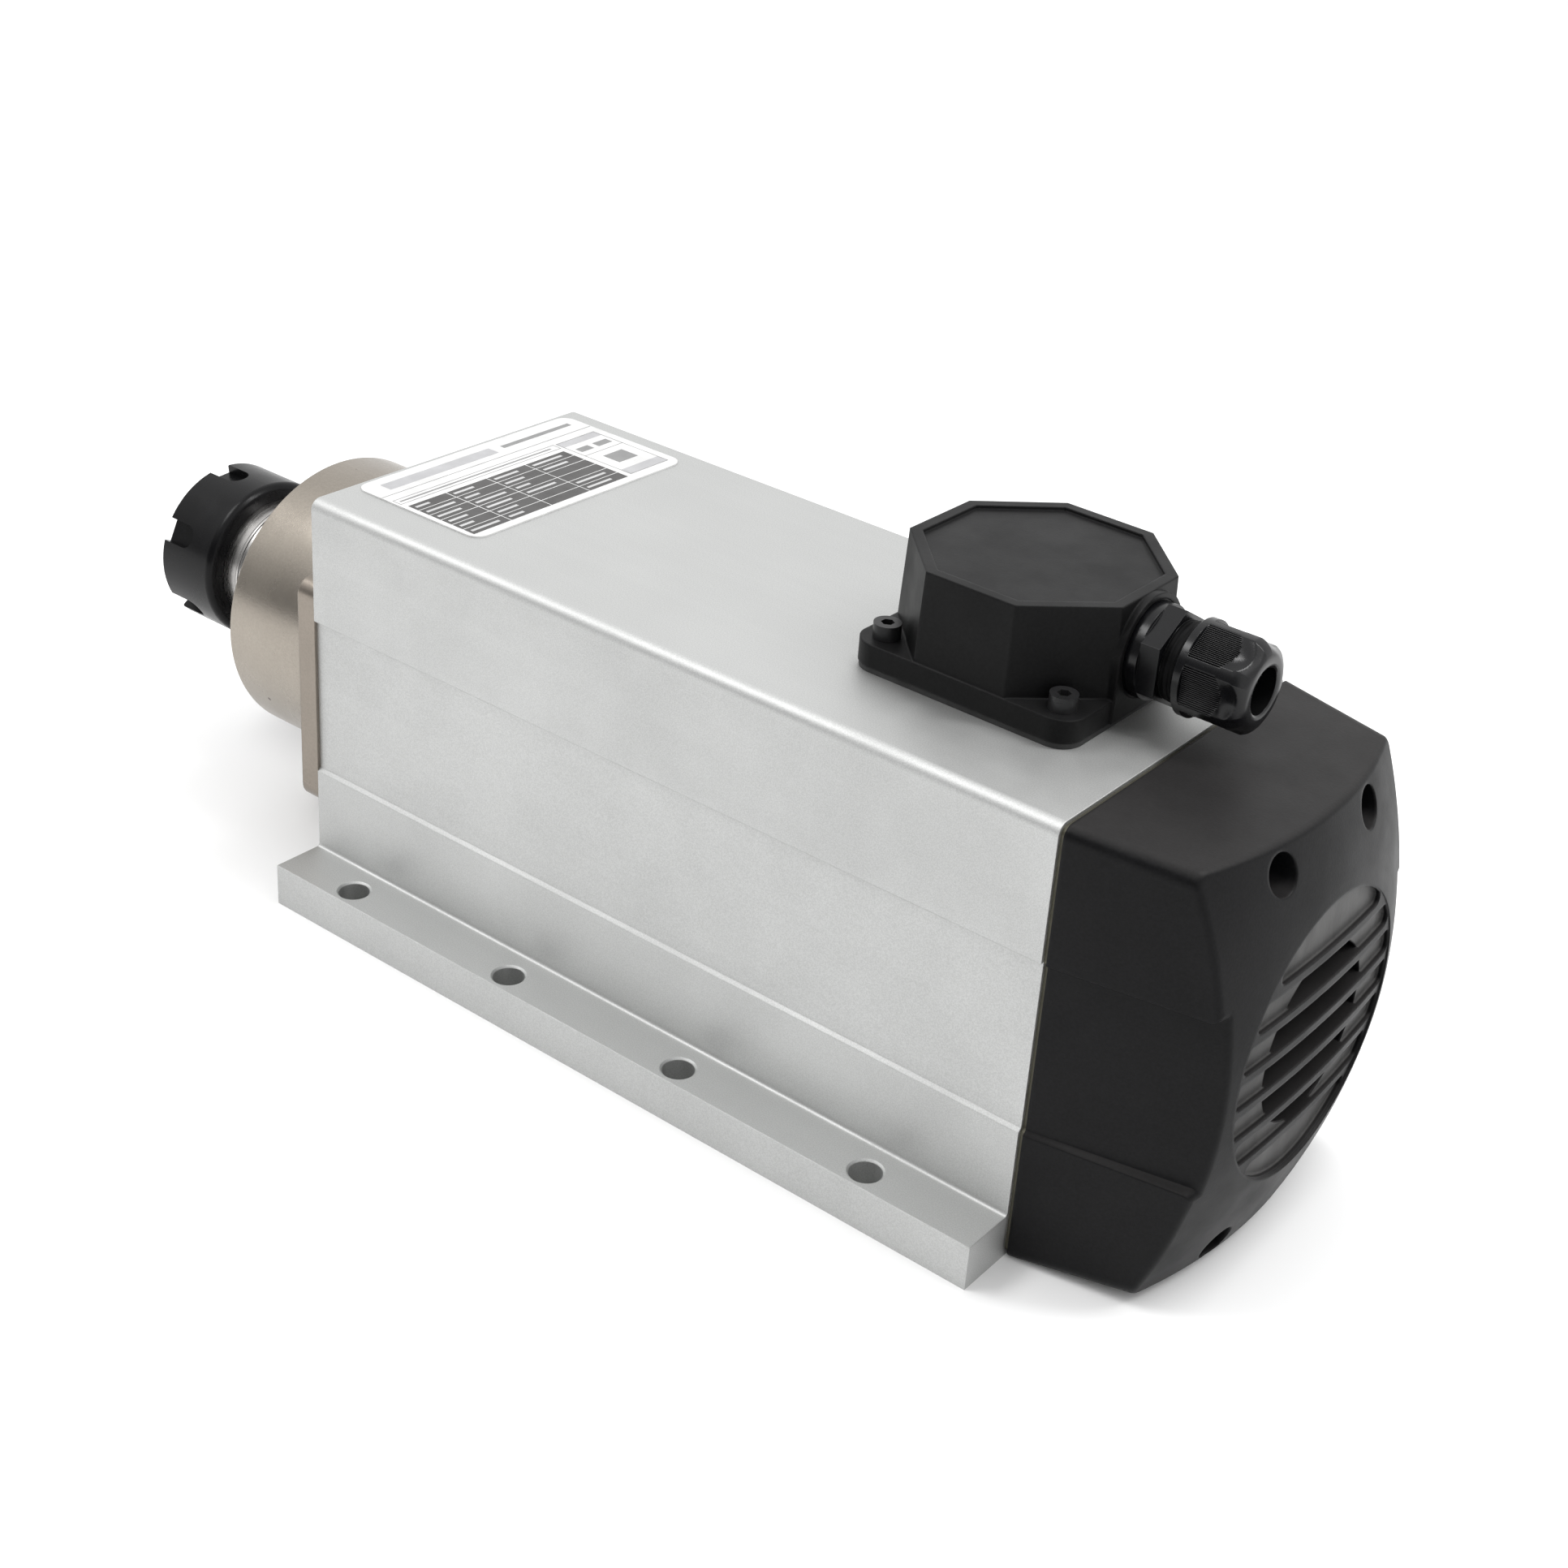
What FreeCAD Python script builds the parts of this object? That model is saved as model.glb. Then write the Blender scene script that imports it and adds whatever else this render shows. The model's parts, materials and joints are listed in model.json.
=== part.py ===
import FreeCAD, Part
import math
import os

from FreeCAD import Vector

os.makedirs("parts", exist_ok=True)

# All sizes in mm. X runs along the shaft to the tool nose, Y to the side, Z up.
# x = 0 is the middle of the foot hole pattern, z = 0 the face that the feet stand on.

# Body extrusion
BODY_LENGTH = 240.0
BODY_WIDTH = 103.0
BODY_HEIGHT = 120.0
BODY_EDGE_R = 3.0
BODY_WALL = 4.0
BAND_STEP = 1.0  # the middle band of each side is set back by this much
BAND_TOP = 84.0
BAND_BOTTOM = 38.0
FOOT_WIDTH = 134.0
FOOT_THICKNESS = 12.5
FOOT_ROOT_R = 1.0
FOOT_HOLE_R = 4.25
FOOT_HOLE_CHAMFER = 0.5
FOOT_HOLE_PITCH = 60.0
FOOT_HOLE_EDGE = 6.0  # from a foot hole to the long edge of its foot
FOOT_HOLE_TO_END = 25.0  # from the last hole to the front face
STATOR_R = 44.0
BORE_RING_WALL = 4.0
WEB_THICKNESS = 2.5

# Screws that hold the end shields to the body, and the fan cover to the body
SHIELD_SCREW_Y = 42.0
SHIELD_SCREW_EDGE = 8.5  # below the top edge of the front plate
SHIELD_BOSS_R = 6.0
COVER_SCREW_Y = 21.0
COVER_SCREW_Z = 51.5
COVER_BOSS_R = 5.0
TAPPED_DEPTH = 18.0
THREAD_PLAY = 0.05

# Front bearing housing
PLATE_THICKNESS = 6.5
PLATE_HEIGHT = 69.0
PLATE_CORNER_R = 5.0
BOSS_R = 42.5
BOSS_LENGTH = 48.0
BOSS_CHAMFER = 1.0
SPIGOT_LENGTH = 12.0
SPIGOT_PLAY = 0.05
LIP_BORE_R = 28.0
FRONT_COVER_R = 38.0
FRONT_COVER_T = 6.0
FRONT_COVER_SCREW_R = 34.6
LABYRINTH_R = 27.0
RUNNING_GAP = 0.3

# Front bearings, a pair with spacers between them
FRONT_BORE_R = 17.5
FRONT_OUTER_R = 31.0
FRONT_WIDTH = 14.0
FRONT_BALL_R = 4.0
FRONT_BALLS = 12
SPACER_WIDTH = 4.0
LOCKNUT_R = 26.0
LOCKNUT_WIDTH = 9.0

# Rear bearing
REAR_BORE_R = 12.5
REAR_OUTER_R = 26.0
REAR_WIDTH = 15.0
REAR_BALL_R = 3.95
REAR_BALLS = 9
REAR_BEARING_INSET = 21.0  # front face of the rear bearing to the end of the body
BALL_PLAY = 0.15
SPRING_ROOM = 2.0

# Shaft
NOSE_R = 20.0
NOSE_LENGTH = 41.0
NOSE_CHAMFER = 1.0
ROTOR_SEAT_R = 17.0
REAR_SHOULDER_R = 15.0
REAR_NECK_R = 10.0
FAN_SEAT_R = 7.0
DRAWBAR_BORE_R = 10.5
TAPER_ANGLE = 8.0
TAPER_PLAY = 0.05

# Collet and its nut
COLLET_R = 16.5
COLLET_LENGTH = 40.0
COLLET_TAPER_LENGTH = 30.6
COLLET_GROOVE_R = 13.8
COLLET_GROOVE_WIDTH = 3.0
COLLET_BORE_R = 6.0
COLLET_SLOTS = 6
COLLET_SLOT_WIDTH = 1.0
COLLET_SLOT_ANGLE = 7.5
COLLET_OUT = 1.1  # how far the large end of the taper stands out of the nose
NUT_R = 25.0
NUT_LENGTH = 22.5
NUT_RIM_CHAMFER = 0.5
NUT_BACK_R = 2.5
NUT_LIP_R = 14.6
NUT_SLOTS = 6
NUT_SLOT_WIDTH = 7.2
NUT_SLOT_LENGTH = 12.0
NUT_SLOT_FLOOR = 22.0
NUT_SLOT_ANGLE = 25.0

# Rotor and stator
STACK_FRONT = 70.0
STACK_LENGTH = 120.0
ROTOR_R = 25.0
END_RING_WIDTH = 7.0
ROTOR_BARS = 16
ROTOR_BAR_R = 1.8
ROTOR_BAR_CIRCLE = 22.0
STATOR_SLOTS = 24
SLOT_INNER_R = 27.5
SLOT_OUTER_R = 38.0
SLOT_INNER_W = 3.4
SLOT_OUTER_W = 6.2
END_TURN_LENGTH = 30.0
END_TURN_OUTER_R = 42.0
END_TURN_INNER_R = 28.0
END_TURN_BEVEL = 3.0

# Rear shield
SHIELD_RIM_T = 1.3
SHIELD_INSET = 1.0
SHIELD_HUB_WALL = 4.0
SHIELD_SPIGOT_WALL = 4.0
SHIELD_FLOOR_T = 5.3

# Fan cover: a drafted shell closed by a ball-shaped dome
COVER_DEPTH = 51.0  # end of the body to the top of the dome
COVER_DOME_R = 150.0
COVER_SHELL = 2.5
COVER_SIDE_DRAFT = 0.176  # per mm of depth
COVER_BAND_DRAFT = 0.209
COVER_TOP_DRAFT = 0.0475
COVER_BOTTOM_DRAFT = 0.083
COVER_COLUMN_R = 6.8
COVER_RECESS_R = 5.0
COVER_RECESS_FLOOR = 25.0  # end of the body to the seat of the screw heads
COVER_EDGE_R = 2.0  # where the dome meets the sides
GRILLE_R = 37.2
GRILLE_RISE = 1.5  # middle of the grille above the shaft axis
GRILLE_CROWN_R = 400.0  # the grille is flatter than the dome
GRILLE_DEPTH = 5.0  # top of the dome to the middle of the grille's floor
GRILLE_BACKING = 3.5
GRILLE_OPENING_R = 23.0
SLAT_THICKNESS = 2.4
SLAT_PITCH = 9.4
SLAT_RISE = 1.6  # above the floor
SLATS = 6
STRIP_END_R = 2.0  # corners of the sunk strips between the slats
STRIP_RIM = 0.4  # ledge between the ends of the strips and the edge of the grille

# Fan
FAN_HUB_R = 14.0
FAN_TIP_R = 41.0
FAN_HUB_LENGTH = 23.0
FAN_BLADES = 7
FAN_BLADE_T = 2.0
FAN_GAP = 5.0  # end of the body to the shoulder that the fan sits on

# Terminal box
BOX_TO_END = 48.3  # middle of the box to the end of the body
BOX_Y = -8.4
BOX_BASE = 64.0
BOX_BASE_R = 6.5
BOX_EAR_TOP = 7.5
BOX_TOP = 30.8
BOX_ACROSS_TOP = 61.0
BOX_ACROSS_FOOT = 63.5
BOX_WALL = 2.5
BOX_RIM = 3.0
BOX_LID_RECESS = 0.9
BOX_SCREW_PITCH = 51.0
GASKET_T = 1.5
GASKET_INSET = 0.3
LEAD_HOLE_R = 8.0
BLOCK_HEIGHT = 10.0
BLOCK_HALF_X = 7.0
BLOCK_WALL = 2.0
BLOCK_WALL_RISE = 4.0
STUD_PITCH = 12.0
STUD_RISE = 9.0  # above the block
BLOCK_FORWARD = 12.0  # middle of the terminal block ahead of the middle of the box
STUD_R = 2.0
LEAD_R = 1.6
LEAD_EYE_T = 1.5
LEAD_ELBOW = 17.0  # above the body's top

# Cable gland, on an arched pad of the box
PAD_R = 14.0
PAD_FACE = 15.8  # forward of the end of the body
PAD_THICKNESS = 5.7
GLAND_RISE = 16.7  # gland axis above the top of the body
GLAND_FLANGE_R = 12.0
GLAND_FLANGE_T = 3.0
GLAND_RECESS_R = 12.5
GLAND_RECESS = 0.4
GLAND_HEX = 22.0
GLAND_HEX_LENGTH = 5.2
GLAND_THREAD_R = 10.0
GLAND_THREAD_GAP = 4.4
GLAND_NUT_LENGTH = 18.2
GLAND_NUT_R = 12.2
GLAND_NUT_HEX = 22.4
GLAND_COLLAR = 2.3
GLAND_DOME = 6.3
GLAND_DOME_R = 7.2
GLAND_DOME_SOFT = 12.0
GLAND_CABLE_R = 5.9

# Label on top of the body
LABEL_LENGTH = 46.5
LABEL_WIDTH = 81.5
LABEL_T = 0.4
LABEL_R = 4.0
LABEL_FROM_FRONT = 1.7
LABEL_Y = -3.1

# Screws: lengths, then thread radius, head radius, head height, socket across flats
FLANGE_SCREW_LENGTH = 20.0
SHIELD_SCREW_LENGTH = 14.0
COVER_SCREW_LENGTH = 40.0
BOX_SCREW_LENGTH = 12.0
M3 = (1.5, 2.75, 3.0, 2.5)
M4 = (2.0, 3.5, 4.0, 3.0)
M5 = (2.5, 4.25, 5.0, 4.0)
M5_LOW = (2.5, 4.25, 3.5, 3.0)
M6_BUTTON = (3.0, 5.2, 3.6, 4.0)

# Places worked out from the sizes
AXIS_Z = BODY_HEIGHT / 2
FOOT_HOLE_SPAN = FOOT_WIDTH - 2 * FOOT_HOLE_EDGE
SHIELD_SCREW_Z = PLATE_HEIGHT / 2 - SHIELD_SCREW_EDGE
GLAND_Z = BODY_HEIGHT + GLAND_RISE
GRILLE_Z = AXIS_Z + GRILLE_RISE
HALF_WIDTH = BODY_WIDTH / 2
BODY_FRONT = 1.5 * FOOT_HOLE_PITCH + FOOT_HOLE_TO_END
BODY_REAR = BODY_FRONT - BODY_LENGTH
COVER_TOP_X = BODY_REAR - COVER_DEPTH
PLATE_FRONT = BODY_FRONT + PLATE_THICKNESS
BOSS_FRONT = BODY_FRONT + BOSS_LENGTH
BEARING_A = BOSS_FRONT - FRONT_COVER_T - FRONT_WIDTH
BEARING_B = BEARING_A - SPACER_WIDTH - FRONT_WIDTH
NOSE_END = BOSS_FRONT + NOSE_LENGTH
STACK_REAR = STACK_FRONT - STACK_LENGTH
REAR_BEARING = BODY_REAR + REAR_BEARING_INSET - REAR_WIDTH
SHIELD_BACK = BODY_REAR - SHIELD_RIM_T
SHIELD_FLOOR = SHIELD_BACK + SHIELD_FLOOR_T
FAN_SHOULDER = BODY_REAR - FAN_GAP
FAN_END = FAN_SHOULDER - FAN_HUB_LENGTH
DOME_X = COVER_TOP_X + COVER_DOME_R
COLLET_SHOULDER = NOSE_END + COLLET_OUT
COLLET_REAR = COLLET_SHOULDER - COLLET_TAPER_LENGTH
COLLET_FRONT = COLLET_REAR + COLLET_LENGTH
NUT_FRONT = COLLET_FRONT + 0.5
NUT_REAR = NUT_FRONT - NUT_LENGTH
BOX_X = BODY_REAR + BOX_TO_END
BOX_FOOT_Z = BODY_HEIGHT + GASKET_T
BOX_TOP_Z = BODY_HEIGHT + BOX_TOP
BOX_EAR_Z = BODY_HEIGHT + BOX_EAR_TOP
PAD_X = BODY_REAR + PAD_FACE
PAD_INNER_X = PAD_X + PAD_THICKNESS
HEX_X = PAD_X - GLAND_FLANGE_T
THREAD_X = HEX_X - GLAND_HEX_LENGTH
GLAND_NUT_X = THREAD_X - GLAND_THREAD_GAP
GLAND_END_X = GLAND_NUT_X - GLAND_NUT_LENGTH
BLOCK_X = BOX_X + BLOCK_FORWARD
LEAD_X = BOX_X + 2.0

X_DIR = Vector(1, 0, 0)
Y_DIR = Vector(0, 1, 0)
Z_DIR = Vector(0, 0, 1)
CENTRE = Vector(0, 0, AXIS_Z)


def across(x):
    """Puts flat (y, z) points in the plane at x."""
    return lambda u, v: Vector(x, u, v)


def level(z):
    """Puts flat (x, y) points in the plane at z."""
    return lambda u, v: Vector(u, v, z)


def beside_axis(u, v):
    """Puts (x, radius) points above the shaft axis, for turning."""
    return Vector(u, 0, AXIS_Z + v)


def outline(corners, place):
    """Closed wire through (u, v) corners; a third number rounds its corner."""
    points = [place(corner[0], corner[1]) for corner in corners]
    starts = []
    ends = []
    arcs = []
    for i, corner in enumerate(corners):
        here = points[i]
        radius = corner[2] if len(corner) > 2 else 0
        if radius <= 0:
            starts.append(here)
            ends.append(here)
            arcs.append(None)
            continue
        back = (points[i - 1] - here).normalize()
        ahead = (points[(i + 1) % len(points)] - here).normalize()
        half = back.getAngle(ahead) / 2
        reach = radius / math.tan(half)
        middle = here + (back + ahead).normalize() * (radius / math.sin(half) - radius)
        starts.append(here + back * reach)
        ends.append(here + ahead * reach)
        arcs.append(Part.Arc(starts[i], middle, ends[i]).toShape())
    edges = []
    for i in range(len(points)):
        if (ends[i - 1] - starts[i]).Length > 1e-6:
            edges.append(Part.LineSegment(ends[i - 1], starts[i]).toShape())
        if arcs[i]:
            edges.append(arcs[i])
    return Part.Wire(edges)


def prism(corners, place, sweep):
    """Solid swept from a flat outline."""
    return Part.Face(outline(corners, place)).extrude(sweep)


def turned(corners):
    """Solid turned about the shaft axis from (x, radius) corners."""
    return Part.Face(outline(corners, beside_axis)).revolve(CENTRE, X_DIR, 360)


def disc(radius, x0, x1, y=0.0, z=AXIS_Z):
    return Part.makeCylinder(radius, x1 - x0, Vector(x0, y, z), X_DIR)


def ring(outer, inner, x0, x1, y=0.0, z=AXIS_Z):
    return disc(outer, x0, x1, y, z).cut(disc(inner, x0 - 1, x1 + 1, y, z))


def post(radius, x, y, z0, z1):
    return Part.makeCylinder(radius, z1 - z0, Vector(x, y, z0), Z_DIR)


def box(x0, x1, y0, y1, z0, z1):
    return Part.makeBox(x1 - x0, y1 - y0, z1 - z0, Vector(x0, y0, z0))


def spun(shape, angle):
    """Copy turned about the shaft axis."""
    copy = shape.copy()
    copy.rotate(CENTRE, X_DIR, angle)
    return copy


def around(shape, count, first=0.0):
    return [spun(shape, first + 360.0 * i / count) for i in range(count)]


def hexagon(flats, start, sweep, corner=Y_DIR):
    """Six-sided prism from a point along a sweep, with one corner towards a direction."""
    points = []
    for i in range(7):
        turn = FreeCAD.Rotation(sweep, 60.0 * i)
        points.append(start + turn.multVec(corner * (flats / math.sqrt(3))))
    return Part.Face(Part.makePolygon(points)).extrude(sweep)


def mirrored(side):
    """Full outline from its near side, which is listed upwards."""
    return side + [(-u, v, r) for u, v, r in reversed(side)]


def four(y, z):
    """Four places about the shaft axis."""
    return [(side * y, AXIS_Z + rise * z) for side in (-1, 1) for rise in (-1, 1)]


def cap_screw(seat, out, size, length):
    """Socket head screw whose head stands on seat and points along out."""
    radius, head_r, head_h, socket = size
    head = Part.makeCylinder(head_r, head_h, seat, out)
    head = head.cut(hexagon(socket, seat + out * (head_h * 0.45), out * head_h))
    shank = Part.makeCylinder(radius - THREAD_PLAY, length, seat - out * length, out)
    return head.fuse(shank)


def save(name, shape):
    shape.exportStep("parts/" + name + ".step")


def save_group(name, solids):
    Part.makeCompound(solids).exportStep("parts/" + name + ".step")


def stepped_side(half, band_half, bottom, top, bottom_r, top_r):
    """Near side of the body's stepped outline, from the bottom up."""
    return [
        (half, bottom, bottom_r),
        (half, BAND_BOTTOM - BAND_STEP, 0),
        (band_half, BAND_BOTTOM, 0),
        (band_half, BAND_TOP, 0),
        (half, BAND_TOP, 0),
        (half, top, top_r),
    ]


def air_ducts():
    """Air passages between the bore ring and the outer wall, as solids to cut away."""
    inner = HALF_WIDTH - BODY_WALL
    side = [(inner, BODY_WALL, 2.0), (inner, BODY_HEIGHT - BODY_WALL, 2.0)]
    room = prism(mirrored(side), across(BODY_REAR), X_DIR * BODY_LENGTH)
    ring_r = STATOR_R + BORE_RING_WALL
    kept = [disc(ring_r, BODY_REAR, BODY_FRONT)]
    for y, z in four(SHIELD_SCREW_Y, SHIELD_SCREW_Z):
        kept.append(disc(SHIELD_BOSS_R, BODY_REAR, BODY_FRONT, y, z))
    for y, z in four(COVER_SCREW_Y, COVER_SCREW_Z):
        kept.append(disc(COVER_BOSS_R, BODY_REAR, BODY_FRONT, y, z))
        z0, z1 = sorted((z, AXIS_Z))
        kept.append(box(BODY_REAR, BODY_FRONT, y - 2.0, y + 2.0, z0, z1))
    half = WEB_THICKNESS / 2
    web = box(BODY_REAR, BODY_FRONT, -half, half, AXIS_Z, AXIS_Z + 1.4 * HALF_WIDTH)
    kept.extend(around(web, 4, 45.0))
    return room.cut(kept)


def foot_holes():
    """Foot holes with a small chamfer at both ends."""
    wide = FOOT_HOLE_R + FOOT_HOLE_CHAMFER
    holes = []
    for i in range(4):
        x = (i - 1.5) * FOOT_HOLE_PITCH
        for y in (-FOOT_HOLE_SPAN / 2, FOOT_HOLE_SPAN / 2):
            holes.append(post(FOOT_HOLE_R, x, y, -1, FOOT_THICKNESS + 1))
            low = Vector(x, y, 0)
            high = Vector(x, y, FOOT_THICKNESS - FOOT_HOLE_CHAMFER)
            holes.append(Part.makeCone(wide, FOOT_HOLE_R, FOOT_HOLE_CHAMFER, low, Z_DIR))
            holes.append(Part.makeCone(FOOT_HOLE_R, wide, FOOT_HOLE_CHAMFER, high, Z_DIR))
    return holes


def box_screw_places():
    half = BOX_SCREW_PITCH / 2
    return [(BOX_X + i * half, BOX_Y + j * half) for i in (-1, 1) for j in (-1, 1)]


def housing():
    foot = FOOT_WIDTH / 2
    side = [(foot, 0, 0), (foot, FOOT_THICKNESS, 0), (HALF_WIDTH, FOOT_THICKNESS, FOOT_ROOT_R)]
    side += stepped_side(HALF_WIDTH, HALF_WIDTH - BAND_STEP, 0, BODY_HEIGHT, 0, BODY_EDGE_R)[1:]
    body = prism(mirrored(side), across(BODY_REAR), X_DIR * BODY_LENGTH)
    cuts = [air_ducts(), disc(STATOR_R, BODY_REAR - 1, BODY_FRONT + 1)]
    for y, z in four(SHIELD_SCREW_Y, SHIELD_SCREW_Z):
        cuts.append(disc(M5[0], BODY_FRONT - TAPPED_DEPTH, BODY_FRONT + 1, y, z))
        cuts.append(disc(M5[0], BODY_REAR - 1, BODY_REAR + TAPPED_DEPTH, y, z))
    for y, z in four(COVER_SCREW_Y, COVER_SCREW_Z):
        cuts.append(disc(M5[0], BODY_REAR - 1, BODY_REAR + TAPPED_DEPTH, y, z))
    for x, y in box_screw_places():
        cuts.append(post(M4[0], x, y, BODY_HEIGHT - BODY_WALL - 1, BODY_HEIGHT + 1))
    cuts.append(post(LEAD_HOLE_R, BOX_X, BOX_Y, AXIS_Z, BODY_HEIGHT + 1))
    for cut in cuts + foot_holes():
        body = body.cut(cut)
    save("housing", body)


def nameplate():
    front = BODY_FRONT - LABEL_FROM_FRONT
    rear = front - LABEL_LENGTH
    low = LABEL_Y - LABEL_WIDTH / 2
    high = LABEL_Y + LABEL_WIDTH / 2
    corners = [(rear, low, LABEL_R), (front, low, LABEL_R)]
    corners += [(front, high, LABEL_R), (rear, high, LABEL_R)]
    save("nameplate", prism(corners, level(BODY_HEIGHT), Z_DIR * LABEL_T))


def front_bearing_housing():
    half = PLATE_HEIGHT / 2
    side = [(HALF_WIDTH, AXIS_Z - half, PLATE_CORNER_R), (HALF_WIDTH, AXIS_Z + half, PLATE_CORNER_R)]
    plate = prism(mirrored(side), across(BODY_FRONT), X_DIR * PLATE_THICKNESS)
    spigot_r = STATOR_R - SPIGOT_PLAY
    outside = turned([
        (BODY_FRONT - SPIGOT_LENGTH, 0),
        (BODY_FRONT - SPIGOT_LENGTH, spigot_r),
        (BODY_FRONT, spigot_r),
        (BODY_FRONT, BOSS_R),
        (BOSS_FRONT - BOSS_CHAMFER, BOSS_R),
        (BOSS_FRONT, BOSS_R - BOSS_CHAMFER),
        (BOSS_FRONT, 0),
    ])
    inside = turned([
        (BODY_FRONT - SPIGOT_LENGTH - 1, 0),
        (BODY_FRONT - SPIGOT_LENGTH - 1, STATOR_R - BORE_RING_WALL),
        (BODY_FRONT, STATOR_R - BORE_RING_WALL),
        (BODY_FRONT, LIP_BORE_R),
        (BEARING_B, LIP_BORE_R),
        (BEARING_B, FRONT_OUTER_R),
        (BOSS_FRONT - FRONT_COVER_T, FRONT_OUTER_R),
        (BOSS_FRONT - FRONT_COVER_T, FRONT_COVER_R),
        (BOSS_FRONT + 1, FRONT_COVER_R),
        (BOSS_FRONT + 1, 0),
    ])
    holes = []
    for y, z in four(SHIELD_SCREW_Y, SHIELD_SCREW_Z):
        holes.append(disc(M5[0] + 0.25, BODY_FRONT - 1, PLATE_FRONT + 1, y, z))
    seat = BOSS_FRONT - FRONT_COVER_T
    hole = disc(M3[0], seat - 9, seat + 1, 0, AXIS_Z + FRONT_COVER_SCREW_R)
    holes.extend(around(hole, 4, 45.0))
    save("front_bearing_housing", plate.fuse(outside).cut(inside).cut(holes))


def front_flange_screws():
    screws = []
    for y, z in four(SHIELD_SCREW_Y, SHIELD_SCREW_Z):
        screws.append(cap_screw(Vector(PLATE_FRONT, y, z), X_DIR, M5, FLANGE_SCREW_LENGTH))
    save_group("front_flange_screws", screws)


def countersunk(face_x, play):
    """Countersunk M3 screw above the axis, with its head flush at face_x."""
    head = 1.6
    return [
        (face_x - 11.0, 0),
        (face_x - 11.0, M3[0] - play),
        (face_x - head, M3[0] - play),
        (face_x, 2.8),
        (face_x, 0),
    ]


def flush_screw(face_x, play):
    wire = outline(countersunk(face_x, play), beside_axis)
    screw = Part.Face(wire).revolve(CENTRE, X_DIR, 360)
    screw.translate(Vector(0, 0, FRONT_COVER_SCREW_R))
    return screw


def front_bearing_cover():
    outer = FRONT_COVER_R - SPIGOT_PLAY
    cover = ring(outer, LABYRINTH_R + RUNNING_GAP, BOSS_FRONT - FRONT_COVER_T, BOSS_FRONT)
    save("front_bearing_cover", cover.cut(around(flush_screw(BOSS_FRONT, 0), 4, 45.0)))


def front_cover_screws():
    screw = flush_screw(BOSS_FRONT, THREAD_PLAY)
    socket = Vector(BOSS_FRONT - 1.0, 0, AXIS_Z + FRONT_COVER_SCREW_R)
    screw = screw.cut(hexagon(2.0, socket, X_DIR * 2))
    save_group("front_cover_screws", around(screw, 4, 45.0))


def labyrinth_ring():
    rear = BOSS_FRONT - FRONT_COVER_T
    groove = 1.6
    save("labyrinth_ring", turned([
        (rear, FRONT_BORE_R),
        (rear, FRONT_BORE_R + 3.8),
        (rear + 1, FRONT_BORE_R + 3.8),
        (rear + 1, LABYRINTH_R),
        (rear + 2.4, LABYRINTH_R),
        (rear + 2.4, LABYRINTH_R - groove),
        (rear + 3.8, LABYRINTH_R - groove),
        (rear + 3.8, LABYRINTH_R),
        (BOSS_FRONT, LABYRINTH_R),
        (BOSS_FRONT, FRONT_BORE_R),
    ]))


def ball_bearing(name, x0, bore_r, outer_r, width, ball_r, count):
    """Rings with ball grooves, a ring of balls and the cage that spaces them."""
    pitch_r = (bore_r + outer_r) / 2
    middle = x0 + width / 2
    shoulder = 0.6 * ball_r
    centre = Vector(middle, 0, AXIS_Z)
    groove = Part.makeTorus(pitch_r, ball_r + BALL_PLAY, centre, X_DIR)
    inner = ring(pitch_r - shoulder, bore_r, x0, x0 + width).cut(groove)
    outer = ring(outer_r, pitch_r + shoulder, x0, x0 + width).cut(groove)
    ball_place = Vector(middle, 0, AXIS_Z + pitch_r)
    ball = Part.makeSphere(ball_r, ball_place)
    pocket = Part.makeCylinder(ball_r + 0.05, 10, ball_place - Z_DIR * 5, Z_DIR)
    reach = ball_r + 1.4
    cage = ring(pitch_r + 1.1, pitch_r - 1.1, middle - reach, middle + reach)
    save(name + "_inner_ring", inner)
    save(name + "_outer_ring", outer)
    save_group(name + "_balls", around(ball, count))
    save(name + "_cage", cage.cut(around(pocket, count)))


def bearings():
    size = (FRONT_BORE_R, FRONT_OUTER_R, FRONT_WIDTH, FRONT_BALL_R, FRONT_BALLS)
    ball_bearing("front_bearing_a", BEARING_A, *size)
    ball_bearing("front_bearing_b", BEARING_B, *size)
    size = (REAR_BORE_R, REAR_OUTER_R, REAR_WIDTH, REAR_BALL_R, REAR_BALLS)
    ball_bearing("rear_bearing", REAR_BEARING, *size)


def bearing_spacers():
    x0 = BEARING_B + FRONT_WIDTH
    inner_r = FRONT_BORE_R + 3.8
    save("bearing_spacer_inner", ring(inner_r, FRONT_BORE_R, x0, BEARING_A))
    save("bearing_spacer_outer", ring(FRONT_OUTER_R, FRONT_OUTER_R - 3.8, x0, BEARING_A))


def bearing_locknut():
    rear = BEARING_B - LOCKNUT_WIDTH
    nut = turned([
        (rear, FRONT_BORE_R),
        (rear, LOCKNUT_R),
        (BEARING_B - 1.5, LOCKNUT_R),
        (BEARING_B - 1.5, FRONT_BORE_R + 4.0),
        (BEARING_B, FRONT_BORE_R + 4.0),
        (BEARING_B, FRONT_BORE_R),
    ])
    slot = box(rear - 1, BEARING_B, -2.5, 2.5, AXIS_Z + LOCKNUT_R - 2.0, AXIS_Z + LOCKNUT_R + 1)
    save("bearing_locknut", nut.cut(around(slot, 4)))


def taper_rise(length):
    return length * math.tan(math.radians(TAPER_ANGLE))


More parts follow.
